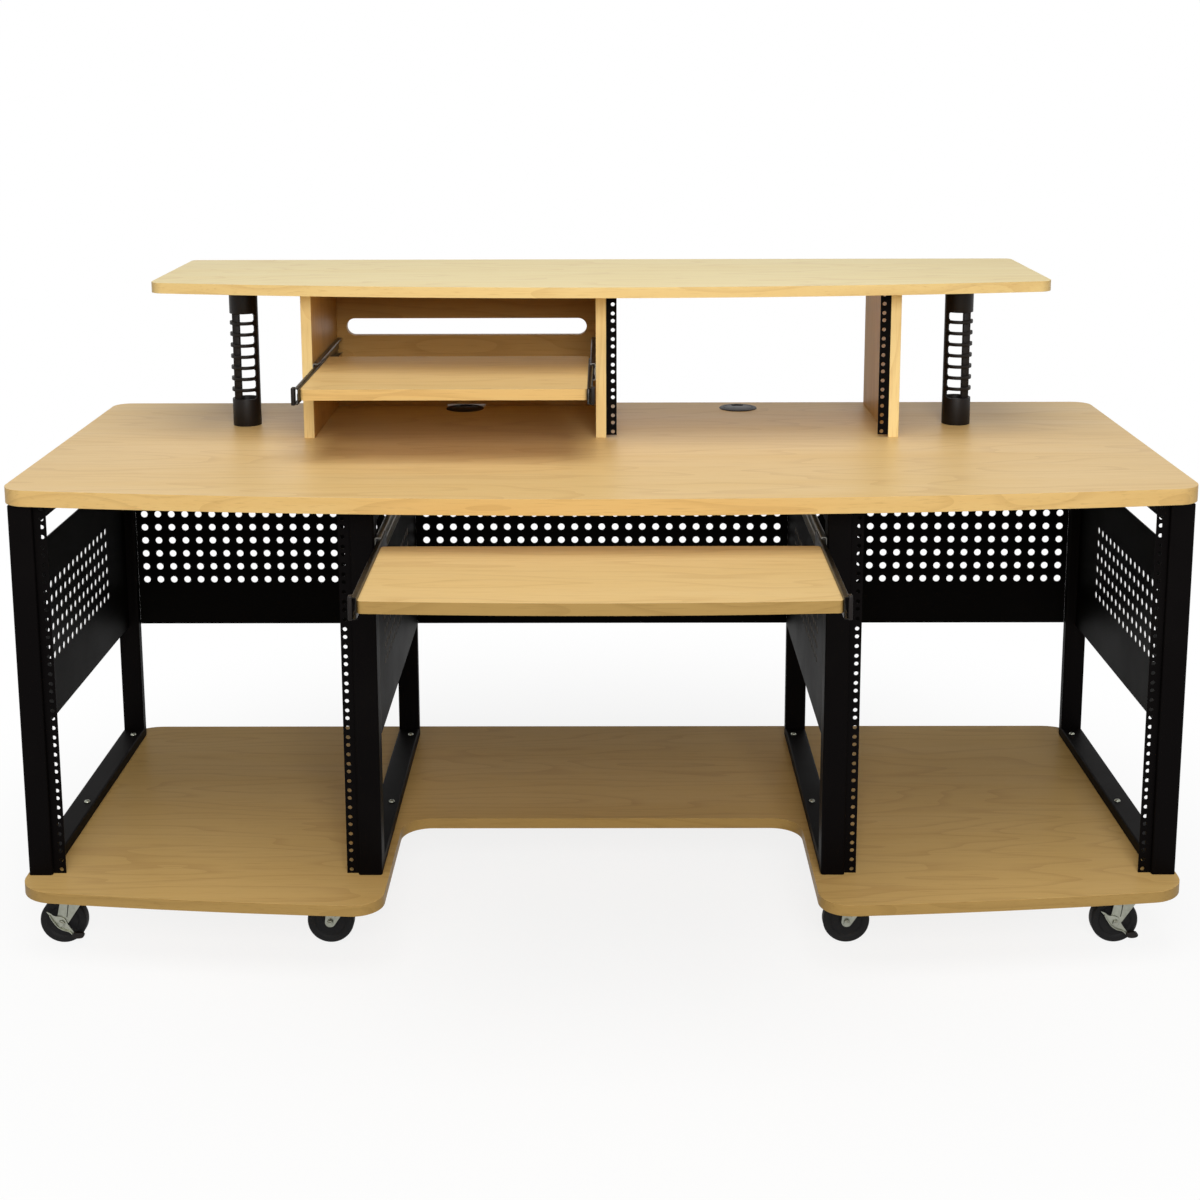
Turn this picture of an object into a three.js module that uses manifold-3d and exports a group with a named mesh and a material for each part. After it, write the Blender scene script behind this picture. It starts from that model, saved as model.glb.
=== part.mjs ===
// Studio desk on eight swivel casters: a bowed worktop with two 19-inch rack bays under it,
// a keyboard tray between them, and a bridge with a pull-out tray, a rack bay and a long shelf.
// Millimetres, +Z up, front faces -Y. While it is drawn, Y is measured from the front face of
// the lower rack rails and Z from the floor; the whole desk is centred front to back at the end.
import * as THREE from 'three';
import { mergeVertices } from 'three/addons/utils/BufferGeometryUtils.js';
import Module from 'manifold-3d';

const wasm = await Module();
wasm.setup();

// Equipment rack standard: the height of one unit, its three holes, and the width between the
// two lines of holes
const rackUnitHeight = 44.45;
const rackHolesPerUnit = 3;
const rackFirstHoleHeight = 6.35;
const rackHoleStep = 15.875;
const rackHoleSpacing = 465.1;
const rackHoleWidth = 6.4;

// Rack rails, folded from sheet, and the least margin between a hole and the end of its rail
const railThickness = 2;
const railEndMargin = 2;
const lowerRailFlange = 19;
const lowerRailHoleInset = 11.95;
const lowerRailDepth = 28;
const upperRailFlange = 18;
const upperRailHoleInset = 11.45;
const upperRailDepth = 20;
const upperRailRaise = 5;
const upperRailGridDrop = 11.35;

// Welded side frames of square tube, with the knee space between the two inner ones. The foot
// rail and the rear leg of each are of flatter tube.
const tube = 38;
const footRailHeight = 19;
const rearLegDepth = 19;
const frameDepth = 624;
const frameAheadOfRail = 8;
const kneeSpace = 700;

// Worktop, and how far it reaches past the frames
const deskTopZ = 754;
const deskThickness = 25.4;
const deskSideOverhang = 10;
const deskFrontOverhang = 72;
const deskRearOverhang = 86;
const deskBowRadius = 6490;
const deskFrontCorner = 45;
const deskRearCorner = 30;

// Base board, with a recess for the feet that goes in behind the fronts of the legs
const baseThickness = 18;
const baseSideOverhang = 3.5;
const baseFrontReach = 133;
const baseRearReach = 46;
const baseBowRadius = 6490;
const baseFrontCorner = 60;
const baseRearCorner = 65;
const footCutInset = 11;
const footCutDepth = 224;
const footCutCorner = 50;
const footCutFrontCorner = 46;

// Perforated sheet panels between the legs. The holes are squares with the area of the real
// 12.7 mm round ones, at twice their 25.4 mm pitch, so each stands where a real one does.
const panelSheet = 1.6;
const panelHeight = 300;
const panelDrop = 84.6;
const perforationWidth = 11.3;
const perforationPitch = 50.8;
const backPerforationEndMargin = 12;
const backPerforationTopMargin = 73;
const backPerforationBottomMargin = 87;
const sidePerforationTopMargin = 61;
const sidePerforationBottomMargin = 99;
const sidePerforationFrontMargin = 75;
const sidePerforationRearMargin = 136;

// Bridge on the worktop: dividers, the slotted back of the tray bay, and the long shelf
const bridgeHeight = 256.4;
const shelfThickness = 18;
const shelfSideInset = 157;
const shelfRearInset = 2;
const shelfDepth = 425;
const shelfBowRadius = 3880;
const shelfFrontCorner = 28;
const shelfRearCorner = 12;
const dividerThickness = 18;
const dividerRearInset = 12;
const dividerDepth = 318;
const bridgeBackFootGap = 3;
const slotHeight = 32;
const slotEndInset = 18.5;
const slotDrop = 105.4;

// Ball slides: a fixed channel on the wall and the channel that runs in it, on the tray
const slideSpace = 12.7;
const slideWall = 1.4;
const slideGap = 0.3;
const slideTipGap = 1.3;
const runnerTipGap = 3.3;
const keyboardSlideHeight = 36;
const keyboardSlideInset = 8;
const keyboardSlideLength = 350;
const keyboardRunnerInset = 6;
const keyboardRunnerLength = 366;
const upperSlideHeight = 30;
const upperSlideLength = 300;
const upperRunnerAhead = 15;
const upperRunnerLength = 300;

// Keyboard tray, drawn pulled out as it is in use: its reach is measured from the legs
const keyboardTrayDrop = 63.6;
const keyboardTrayThickness = 18;
const keyboardTrayReach = 314;
const keyboardTrayDepth = 303;
const keyboardTrayBowRadius = 4830;
const keyboardTrayCorner = 6;
const keyboardTrayRearCorner = 6;

// Pull-out tray in the bridge: its reach is measured from the dividers
const upperTrayRaise = 125;
const upperTrayThickness = 18;
const upperTrayReach = 217;
const upperTrayDepth = 330;
const upperTrayCorner = 6;

// Slotted posts that carry the shelf ends
const postSideInset = 131;
const postRearInset = 201;
const postWidth = 50;
const postDepth = 52;
const postWall = 4;
const postSides = 16;
const postWindows = 8;
const postWindowHeight = 11.5;
const postWindowPitch = 20;
const postFootHeight = 50;
const postSpineWidth = 14;
const postSpineInset = 7;
const postStripWidth = 13;

// Cable grommets
const grommetX = 256;
const grommetRearInset = 58;
const grommetFlange = 70;
const grommetSleeve = 60;
const grommetWall = 3;
const grommetFlangeThickness = 2;
const grommetLength = 24;
const grommetGap = 0.3;
const grommetSides = 16;
const capThickness = 3;
const capNotchWidth = 22;
const capNotchDepth = 14;

// Swivel casters: how far their swivel axes stand in from the edges of the base board and of
// its recess, and their parts from the plate down
const outerCasterInset = 72.5;
const innerCasterInset = 76;
const frontCasterInset = 151;
const rearCasterInset = 102;
const casterPlateSize = 60;
const casterPlateThickness = 2.5;
const plateBite = 1;
const raceRadius = 21;
const raceHeight = 9;
const kingPinRadius = 5;
const kingPinHeadRadius = 8;
const kingPinHead = 3;
const casterGap = 0.3;
const crownRadius = 25;
const forkSheet = 2.5;
const casterTrail = 21.3;
const wheelHeadroom = 9.4;
const wheelRadius = 37.5;
const wheelWidth = 22;
const hubRadius = 11;
const axleRadius = 4;
const axleBossRadius = 11;
const axleNutRadius = 7;
const axleNutThickness = 3.4;
const forkSideGap = 1.6;
const wheelSides = 16;
const turnedSides = 8;
const nutSides = 6;
const crownSides = 12;
const forkArcSteps = 4;

// Brake levers on the two outer front casters
const leverThickness = 2;
const leverBossRadius = 9;
const leverWingReach = 22;
const leverWingWidth = 20;
const leverWingAngle = 135;
const leverPadReach = 27;
const leverPadWidth = 22;
const leverTipReach = 41;
const leverTipWidth = 7;
const leverPedalDepth = 7;
const leverAngle = -40;

// Steps along one arc of a board's outline, and how far a cut runs past what it cuts
const arcSteps = 6;
const overrun = 1;

// Widths that follow from the sizes above, from the middle of the desk outwards
const innerFrameInnerFace = kneeSpace / 2;
const innerFrameX = innerFrameInnerFace + tube / 2;
const innerFrameOuterFace = innerFrameInnerFace + tube;
const outerFrameFace = innerFrameOuterFace + rackHoleSpacing + 2 * lowerRailHoleInset;
const outerFrameX = outerFrameFace + tube / 2;
const frameReach = outerFrameFace + tube;
const rackBayX = (outerFrameFace + innerFrameOuterFace) / 2;
const deskWidth = 2 * (frameReach + deskSideOverhang);
const baseWidth = 2 * (frameReach + baseSideOverhang);
const footCutHalf = innerFrameInnerFace - footCutInset;
const shelfWidth = deskWidth - 2 * shelfSideInset;
const bridgeBay = rackHoleSpacing + 2 * upperRailHoleInset;
const outerDividerX = bridgeBay + dividerThickness;

// Heights, from the wheels up
const raceUnderZ = 2 * wheelRadius + wheelHeadroom + kingPinHead + casterGap + forkSheet + casterGap;
const plateUnderZ = raceUnderZ + raceHeight;
const baseUnderZ = plateUnderZ + casterPlateThickness;
const baseTopZ = baseUnderZ + baseThickness;
const deskUnderZ = deskTopZ - deskThickness;
const panelTopZ = deskUnderZ - panelDrop;
const panelBottomZ = panelTopZ - panelHeight;
const shelfUnderZ = deskTopZ + bridgeHeight;

// Depths, from the front face of the lower rack rails
const legFrontY = -frameAheadOfRail;
const legRearY = legFrontY + frameDepth;
const deskRearY = legRearY + deskRearOverhang;
const baseFrontY = legFrontY - baseFrontReach;
const baseRearY = legRearY + baseRearReach;
const shelfRearY = deskRearY - shelfRearInset;
const dividerRearY = deskRearY - dividerRearInset;
const dividerFrontY = dividerRearY - dividerDepth;
const grommetY = deskRearY - grommetRearInset;
const keyboardTrayFrontY = legFrontY - keyboardTrayReach;
const upperTrayFrontY = dividerFrontY - upperTrayReach;
const centreY = (keyboardTrayFrontY + deskRearY) / 2;

const finishes = {
  maple: { color: 0xd8b478, roughness: 0.45, metalness: 0 },
  blackSteel: { color: 0x17161a, roughness: 0.6, metalness: 0.3 },
  blackPlastic: { color: 0x1f1d1d, roughness: 0.5, metalness: 0 },
  zinc: { color: 0x9fa093, roughness: 0.35, metalness: 0.9 },
  slideSteel: { color: 0x77756e, roughness: 0.35, metalness: 0.9 },
  rubber: { color: 0x101011, roughness: 0.8, metalness: 0 },
};

const desk = new THREE.Group();

// One named piece with its own material.
function addPiece(name, geometry, finish) {
  const piece = new THREE.Mesh(geometry, new THREE.MeshStandardMaterial(finishes[finish]));
  piece.name = name;
  desk.add(piece);
  return piece;
}

// A closed geometry as a solid that can be cut and joined.
function toSolid(geometry) {
  const bare = geometry.clone();
  bare.deleteAttribute('normal');
  bare.deleteAttribute('uv');
  const welded = mergeVertices(bare);
  return new wasm.Manifold(new wasm.Mesh({
    numProp: 3,
    vertProperties: new Float32Array(welded.attributes.position.array),
    triVerts: new Uint32Array(welded.index.array),
  }));
}

// The triangles of a solid as a geometry again.
function toGeometry(solid) {
  const mesh = solid.getMesh();
  const geometry = new THREE.BufferGeometry();
  geometry.setAttribute('position', new THREE.BufferAttribute(mesh.vertProperties, mesh.numProp));
  geometry.setIndex(new THREE.BufferAttribute(mesh.triVerts, 1));
  return geometry;
}

function join(...geometries) {
  return toGeometry(geometries.map(toSolid).reduce((whole, next) => whole.add(next)));
}

function cut(body, ...tools) {
  return toGeometry(tools.map(toSolid).reduce((rest, tool) => rest.subtract(tool), toSolid(body)));
}

// A box given by its lowest and highest corner.
function block(x0, x1, y0, y1, z0, z1) {
  const box = new THREE.BoxGeometry(x1 - x0, y1 - y0, z1 - z0);
  box.translate((x0 + x1) / 2, (y0 + y1) / 2, (z0 + z1) / 2);
  return box;
}

// A shape drawn in X and Y, raised from z0.
function raised(shape, z0, height) {
  const options = { depth: height, bevelEnabled: false, curveSegments: arcSteps };
  const body = new THREE.ExtrudeGeometry(shape, options);
  body.translate(0, 0, z0);
  return body;
}

// A shape drawn in X and Z, drawn out along Y.
function alongY(shape, y0, length, steps = arcSteps) {
  const body = new THREE.ExtrudeGeometry(shape, { depth: length, bevelEnabled: false, curveSegments: steps });
  const basis = new THREE.Matrix4().makeBasis(
    new THREE.Vector3(1, 0, 0), new THREE.Vector3(0, 0, 1), new THREE.Vector3(0, -1, 0));
  body.applyMatrix4(basis);
  body.translate(0, y0 + length, 0);
  return body;
}

// A shape drawn in Y and Z, drawn out along X.
function alongX(shape, x0, length) {
  const options = { depth: length, bevelEnabled: false, curveSegments: arcSteps };
  const body = new THREE.ExtrudeGeometry(shape, options);
  const basis = new THREE.Matrix4().makeBasis(
    new THREE.Vector3(0, 1, 0), new THREE.Vector3(0, 0, 1), new THREE.Vector3(1, 0, 0));
  body.applyMatrix4(basis);
  body.translate(x0, 0, 0);
  return body;
}

// A turned ring or disc: profile points are [radius, height], about an upright axis.
function turned(profile, sides) {
  const points = profile.map(([radius, height]) => new THREE.Vector2(radius, height));
  const body = new THREE.LatheGeometry(points, sides);
  body.rotateX(Math.PI / 2);
  return body;
}

// The same, about an axis that lies along Y, with a flat turned to the floor.
function turnedAlongY(profile, sides) {
  const points = profile.map(([radius, height]) => new THREE.Vector2(radius, height));
  const body = new THREE.LatheGeometry(points, sides);
  body.rotateY(Math.PI / sides);
  return body;
}

function rectangle(x0, x1, y0, y1) {
  const shape = new THREE.Shape();
  shape.moveTo(x0, y0);
  shape.lineTo(x1, y0);
  shape.lineTo(x1, y1);
  shape.lineTo(x0, y1);
  shape.closePath();
  return shape;
}

// A four-sided hole with its flats level and upright.
function squareHole(x, y, width) {
  const half = width / 2;
  const hole = new THREE.Path();
  hole.moveTo(x - half, y - half);
  hole.lineTo(x - half, y + half);
  hole.lineTo(x + half, y + half);
  hole.lineTo(x + half, y - half);
  hole.closePath();
  return hole;
}

// Where a fillet of a board's front corner sits: it touches the bow from inside and the side
// line, or the line of the foot cut-out, which lies towards the middle.
function bowFillet(frontY, bowRadius, fillet, lineX, side) {
  const bowCentreY = frontY + bowRadius;
  const x = lineX + side * fillet;
  const y = bowCentreY - Math.sqrt((bowRadius - fillet) ** 2 - x ** 2);
  const angle = Math.atan2(y - bowCentreY, x) + 2 * Math.PI;
  return { x, y, angle };
}

// A board with a bowed front, drawn anticlockwise from its rear left corner. With a cut, the
// front is two lobes with a recess for the feet between them.
function bowedBoard({ width, frontY, rearY, bowRadius, frontCorner, rearCorner, recess }) {
  const half = width / 2;
  const bowCentreY = frontY + bowRadius;
  const left = bowFillet(frontY, bowRadius, frontCorner, -half, 1);
  const right = bowFillet(frontY, bowRadius, frontCorner, half, -1);
  const shape = new THREE.Shape();
  shape.moveTo(-half, rearY - rearCorner);
  shape.lineTo(-half, left.y);
  shape.absarc(left.x, left.y, frontCorner, Math.PI, left.angle, false);
  if (recess) {
    const { halfWidth, innerCorner, lobeCorner } = recess;
    const leftLobe = bowFillet(frontY, bowRadius, lobeCorner, -halfWidth, -1);
    const rightLobe = bowFillet(frontY, bowRadius, lobeCorner, halfWidth, 1);
    shape.absarc(0, bowCentreY, bowRadius, left.angle, leftLobe.angle, false);
    shape.absarc(leftLobe.x, leftLobe.y, lobeCorner, leftLobe.angle, 2 * Math.PI, false);
    shape.lineTo(-halfWidth, recess.rearY - innerCorner);
    const innerX = halfWidth - innerCorner;
    const innerY = recess.rearY - innerCorner;
    shape.absarc(-innerX, innerY, innerCorner, Math.PI, Math.PI / 2, true);
    shape.lineTo(innerX, recess.rearY);
    shape.absarc(innerX, innerY, innerCorner, Math.PI / 2, 0, true);
    shape.lineTo(halfWidth, rightLobe.y);
    shape.absarc(rightLobe.x, rightLobe.y, lobeCorner, Math.PI, rightLobe.angle, false);
    shape.absarc(0, bowCentreY, bowRadius, rightLobe.angle, right.angle, false);
  } else {
    shape.absarc(0, bowCentreY, bowRadius, left.angle, right.angle, false);
  }
  shape.absarc(right.x, right.y, frontCorner, right.angle, 2 * Math.PI, false);
  shape.lineTo(half, rearY - rearCorner);
  shape.absarc(half - rearCorner, rearY - rearCorner, rearCorner, 0, Math.PI / 2, false);
  shape.lineTo(rearCorner - half, rearY);
  shape.absarc(rearCorner - half, rearY - rearCorner, rearCorner, Math.PI / 2, Math.PI, false);
  return shape;
}

// Worktop, with a hole for each cable grommet
function makeDesktop() {
  const outline = bowedBoard({
    width: deskWidth,
    frontY: legFrontY - deskFrontOverhang,
    rearY: deskRearY,
    bowRadius: deskBowRadius,
    frontCorner: deskFrontCorner,
    rearCorner: deskRearCorner,
  });
  for (const side of [-1, 1]) {
    const hole = new THREE.Path();
    const radius = grommetSleeve / 2 + grommetGap;
    for (let i = 0; i < grommetSides; i += 1) {
      const angle = -i * 2 * Math.PI / grommetSides;
      const x = side * grommetX + radius * Math.cos(angle);
      const y = grommetY + radius * Math.sin(angle);
      if (i === 0) {
        hole.moveTo(x, y);
      } else {
        hole.lineTo(x, y);
      }
    }
    hole.closePath();
    outline.holes.push(hole);
  }
  addPiece('desktop', raised(outline, deskUnderZ, deskThickness), 'maple');
}

// Base board, under the frames, with the top plates of the casters screwed fast to its underside
function makeBaseBoard() {
  const outline = bowedBoard({
    width: baseWidth,
    frontY: baseFrontY,
    rearY: baseRearY,
    bowRadius: baseBowRadius,
    frontCorner: baseFrontCorner,
    rearCorner: baseRearCorner,
    recess: {
      halfWidth: footCutHalf,
      rearY: legFrontY + footCutDepth,
      innerCorner: footCutCorner,
      lobeCorner: footCutFrontCorner,
    },
  });
  const plate = casterPlate();
  const plates = casterPlaces.map(({ x, y }) => plate.clone().translate(x, y, 0));
  addPiece('base_board', join(raised(outline, baseUnderZ, baseThickness), ...plates), 'maple');
}

// Side frames: two legs, a foot rail and a top rail welded into one loop of tube
function makeSideFrame(name, x) {
  const loop = rectangle(legFrontY, legRearY, baseTopZ, deskUnderZ);
  const openY1 = legRearY - rearLegDepth;
  const openZ0 = baseTopZ + footRailHeight;
  loop.holes.push(rectangle(legFrontY + tube, openY1, openZ0, deskUnderZ - tube));
  addPiece(name, alongX(loop, x - tube / 2, tube), 'blackSteel');
}

// The heights of the rack pattern's holes that fit on a rail. The pattern starts at gridZ.
function rackHoleHeights(gridZ, bottomZ, topZ) {
  const margin = rackHoleWidth / 2 + railEndMargin;
  const heights = [];
  for (let unitZ = gridZ; unitZ < topZ; unitZ += rackUnitHeight) {
    for (let k = 0; k < rackHolesPerUnit; k += 1) {
      const height = unitZ + rackFirstHoleHeight + k * rackHoleStep;
      if (height > bottomZ + margin && height < topZ - margin) {
        heights.push(height);
      }
    }
  }
  return heights;
}

// A rack rail: an angle whose side flange lies on a wall at wallX and whose front flange, with
// the holes, reaches out from it on the given side.
function makeRackRail({ name, wallX, side, frontY, flange, depth, bottomZ, topZ, holeX, gridZ }) {
  const tipX = wallX + side * flange;
  const face = rectangle(Math.min(wallX, tipX), Math.max(wallX, tipX), bottomZ, topZ);
  for (const height of rackHoleHeights(gridZ, bottomZ, topZ)) {
    face.holes.push(squareHole(holeX, height, rackHoleWidth));
  }
  const webX = wallX + side * railThickness;
  const front = alongY(face, frontY, railThickness);
  const web = block(Math.min(wallX, webX), Math.max(wallX, webX), frontY, frontY + depth, bottomZ, topZ);
  addPiece(name, join(front, web), 'blackSteel');
}

function makeLowerRails() {
  const rails = [
    { name: 'rack_rail_left_outer', wallX: -outerFrameFace, side: 1, bay: -1, end: -1 },
    { name: 'rack_rail_left_inner', wallX: -innerFrameOuterFace, side: -1, bay: -1, end: 1 },
    { name: 'rack_rail_right_inner', wallX: innerFrameOuterFace, side: 1, bay: 1, end: -1 },
    { name: 'rack_rail_right_outer', wallX: outerFrameFace, side: -1, bay: 1, end: 1 },
  ];
  for (const rail of rails) {
    makeRackRail({
      ...rail,
      frontY: 0,
      flange: lowerRailFlange,
      depth: lowerRailDepth,
      bottomZ: baseTopZ,
      topZ: deskUnderZ,
      holeX: rail.bay * rackBayX + rail.end * rackHoleSpacing / 2,
      gridZ: baseTopZ,
    });
  }
}

function makeUpperRails() {
  const bayX = dividerThickness / 2 + (outerDividerX - dividerThickness) / 2;
  const rails = [
    { name: 'bridge_rail_left', wallX: dividerThickness / 2, side: 1, end: -1 },
    { name: 'bridge_rail_right', wallX: outerDividerX - dividerThickness / 2, side: -1, end: 1 },
  ];
  for (const rail of rails) {
    makeRackRail({
      ...rail,
      frontY: dividerFrontY,
      flange: upperRailFlange,
      depth: upperRailDepth,
      bottomZ: deskTopZ + upperRailRaise,
      topZ: shelfUnderZ,
      holeX: bayX + rail.end * rackHoleSpacing / 2,
      gridZ: deskTopZ - upperRailGridDrop,
    });
  }
}

// How many perforations fit between the two margins of a stretch of sheet.
function perforationCount(length, startMargin, endMargin) {
  return Math.floor((length - startMargin - endMargin) / perforationPitch) + 1;
}

// A sheet that stands along X from x0 to x1, with its front at Y 0, punched from startX on.
function perforatedSheet({ x0, x1, startX, columns, bottomMargin, topMargin }) {
  const half = perforationWidth / 2;
  const rows = perforationCount(panelHeight, bottomMargin, topMargin);
  const punches = [];
  for (let column = 0; column < columns; column += 1) {
    for (let row = 0; row < rows; row += 1) {
      const x = startX + column * perforationPitch;
      const z = panelBottomZ + bottomMargin + row * perforationPitch;
      punches.push(block(x - half, x + half, -overrun, panelSheet + overrun, z - half, z + half));
    }
  }
  return cut(block(x0, x1, 0, panelSheet, panelBottomZ, panelTopZ), ...punches);
}

// Perforated panels: side panels sit in the frames, back panels between the rear legs, flush
// with their backs
function makePanels() {
  const sidePanels = [
    { name: 'side_panel_left_outer', x: -outerFrameX - panelSheet / 2 },
    { name: 'side_panel_left_inner', x: -innerFrameInnerFace - panelSheet },
    { name: 'side_panel_right_inner', x: innerFrameInnerFace },
    { name: 'side_panel_right_outer', x: outerFrameX - panelSheet / 2 },
  ];
  const sideY0 = legFrontY + tube;
  const sideY1 = legRearY - rearLegDepth;
  const side = perforatedSheet({
    x0: sideY0,
    x1: sideY1,
    startX: sideY0 + sidePerforationFrontMargin,
    columns: perforationCount(sideY1 - sideY0, sidePerforationFrontMargin, sidePerforationRearMargin),
    bottomMargin: sidePerforationBottomMargin,
    topMargin: sidePerforationTopMargin,
  });
  side.rotateZ(Math.PI / 2);
  for (const { name, x } of sidePanels) {
    addPiece(name, side.clone().translate(x + panelSheet, 0, 0), 'blackSteel');
  }
  const backPanels = [
    { name: 'back_panel_left', x0: -outerFrameFace, x1: -innerFrameOuterFace },
    { name: 'back_panel_centre', x0: -innerFrameInnerFace, x1: innerFrameInnerFace },
    { name: 'back_panel_right', x0: innerFrameOuterFace, x1: outerFrameFace },
  ];
  for (const { name, x0, x1 } of backPanels) {
    const columns = perforationCount(x1 - x0, backPerforationEndMargin, backPerforationEndMargin);
    const back = perforatedSheet({
      x0,
      x1,
      startX: (x0 + x1 - (columns - 1) * perforationPitch) / 2,
      columns,
      bottomMargin: backPerforationBottomMargin,
      topMargin: backPerforationTopMargin,
    });
    addPiece(name, back.translate(0, legRearY - panelSheet, 0), 'blackSteel');
  }
}

// Bridge: dividers, the slotted back of the tray bay and the long shelf
function makeBridge() {
  const dividers = [
    { name: 'divider_left', x: -outerDividerX },
    { name: 'divider_centre', x: 0 },
    { name: 'divider_right', x: outerDividerX },
  ];
  for (const { name, x } of dividers) {
    const half = dividerThickness / 2;
    addPiece(name, block(x - half, x + half, dividerFrontY, dividerRearY, deskTopZ, shelfUnderZ), 'maple');
  }
  const x0 = dividerThickness / 2 - outerDividerX;
  const x1 = -dividerThickness / 2;
  const back = rectangle(x0, x1, deskTopZ + bridgeBackFootGap, shelfUnderZ);
  const slot = new THREE.Path();
  const slotZ = shelfUnderZ - slotDrop;
  const reach = (bridgeBay - 2 * slotEndInset - slotHeight) / 2;
  const slotX = (x0 + x1) / 2;
  slot.absarc(slotX - reach, slotZ, slotHeight / 2, -Math.PI / 2, Math.PI / 2, true);
  slot.absarc(slotX + reach, slotZ, slotHeight / 2, Math.PI / 2, -Math.PI / 2, true);
  slot.closePath();
  back.holes.push(slot);
  addPiece('bridge_back', alongY(back, dividerRearY - dividerThickness, dividerThickness), 'maple');
  const outline = bowedBoard({
    width: shelfWidth,
    frontY: shelfRearY - shelfDepth,
    rearY: shelfRearY,
    bowRadius: shelfBowRadius,
    frontCorner: shelfFrontCorner,
    rearCorner: shelfRearCorner,
  });
  addPiece('shelf_top', raised(outline, shelfUnderZ, shelfThickness), 'maple');
}

// A channel drawn in X and Z with its web on a wall and its lips reaching out from it.
function channel(wallX, side, middleZ, height, wall, lip) {
  const shape = new THREE.Shape();
  const outline = [
    [0, -height / 2],
    [lip, -height / 2],
    [lip, wall - height / 2],
    [wall, wall - height / 2],
    [wall, height / 2 - wall],
    [lip, height / 2 - wall],
    [lip, height / 2],
    [0, height / 2],
  ];
  outline.forEach(([reach, rise], i) => {
    const x = wallX + side * reach;
    const z = middleZ + rise;
    if (i === 0) {
      shape.moveTo(x, z);
    } else {
      shape.lineTo(x, z);
    }
  });
  shape.closePath();
  return shape;
}

// A pair of ball slides between two walls and the edges of a tray
function makeSlides({ prefix, trayX, wallHalf, middleZ, height, slideY, slideLength, runnerY, runnerLength }) {
  const trayHalf = wallHalf - slideSpace;
  const slideLip = slideSpace - slideWall - slideTipGap;
  const runnerLip = slideSpace - slideWall - runnerTipGap;
  for (const [label, side] of [['left', -1], ['right', 1]]) {
    const fixed = channel(trayX + side * wallHalf, -side, middleZ, height, slideWall, slideLip);
    addPiece(`${prefix}_slide_${label}`, alongY(fixed, slideY, slideLength), 'slideSteel');
    const runnerHeight = height - 2 * slideWall - 2 * slideGap;
    const runner = channel(trayX + side * trayHalf, side, middleZ, runnerHeight, slideWall, runnerLip);
    addPiece(`${prefix}_runner_${label}`, alongY(runner, runnerY, runnerLength), 'slideSteel');
  }
}

function makeKeyboardTray() {
  const underZ = deskUnderZ - keyboardTrayDrop - keyboardTrayThickness;
  const outline = bowedBoard({
    width: kneeSpace - 2 * slideSpace,
    frontY: keyboardTrayFrontY,
    rearY: keyboardTrayFrontY + keyboardTrayDepth,
    bowRadius: keyboardTrayBowRadius,
    frontCorner: keyboardTrayCorner,
    rearCorner: keyboardTrayRearCorner,
  });
  addPiece('keyboard_tray', raised(outline, underZ, keyboardTrayThickness), 'maple');
  makeSlides({
    prefix: 'keyboard',
    trayX: 0,
    wallHalf: innerFrameInnerFace,
    middleZ: underZ + keyboardTrayThickness / 2,
    height: keyboardSlideHeight,
    slideY: legFrontY + keyboardSlideInset,
    slideLength: keyboardSlideLength,
    runnerY: keyboardTrayFrontY + keyboardRunnerInset,
    runnerLength: keyboardRunnerLength,
  });
}

function makeUpperTray() {
  const trayX = -outerDividerX / 2;
  const wallHalf = bridgeBay / 2;
  const trayHalf = wallHalf - slideSpace;
  const underZ = deskTopZ + upperTrayRaise - upperTrayThickness;
  const outline = new THREE.Shape();
  const rearY = upperTrayFrontY + upperTrayDepth;
  const corner = upperTrayCorner;
  const cornerY = upperTrayFrontY + corner;
  outline.absarc(trayX - trayHalf + corner, cornerY, corner, Math.PI, 3 * Math.PI / 2, false);
  outline.absarc(trayX + trayHalf - corner, cornerY, corner, 3 * Math.PI / 2, 2 * Math.PI, false);
  outline.lineTo(trayX + trayHalf, rearY);
  outline.lineTo(trayX - trayHalf, rearY);
  outline.closePath();
  addPiece('upper_tray', raised(outline, underZ, upperTrayThickness), 'maple');
  makeSlides({
    prefix: 'upper',
    trayX,
    wallHalf,
    middleZ: underZ + upperTrayThickness / 2,
    height: upperSlideHeight,
    slideY: dividerFrontY,
    slideLength: upperSlideLength,
    runnerY: upperTrayFrontY - upperRunnerAhead,
    runnerLength: upperRunnerLength,
  });
}

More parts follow.
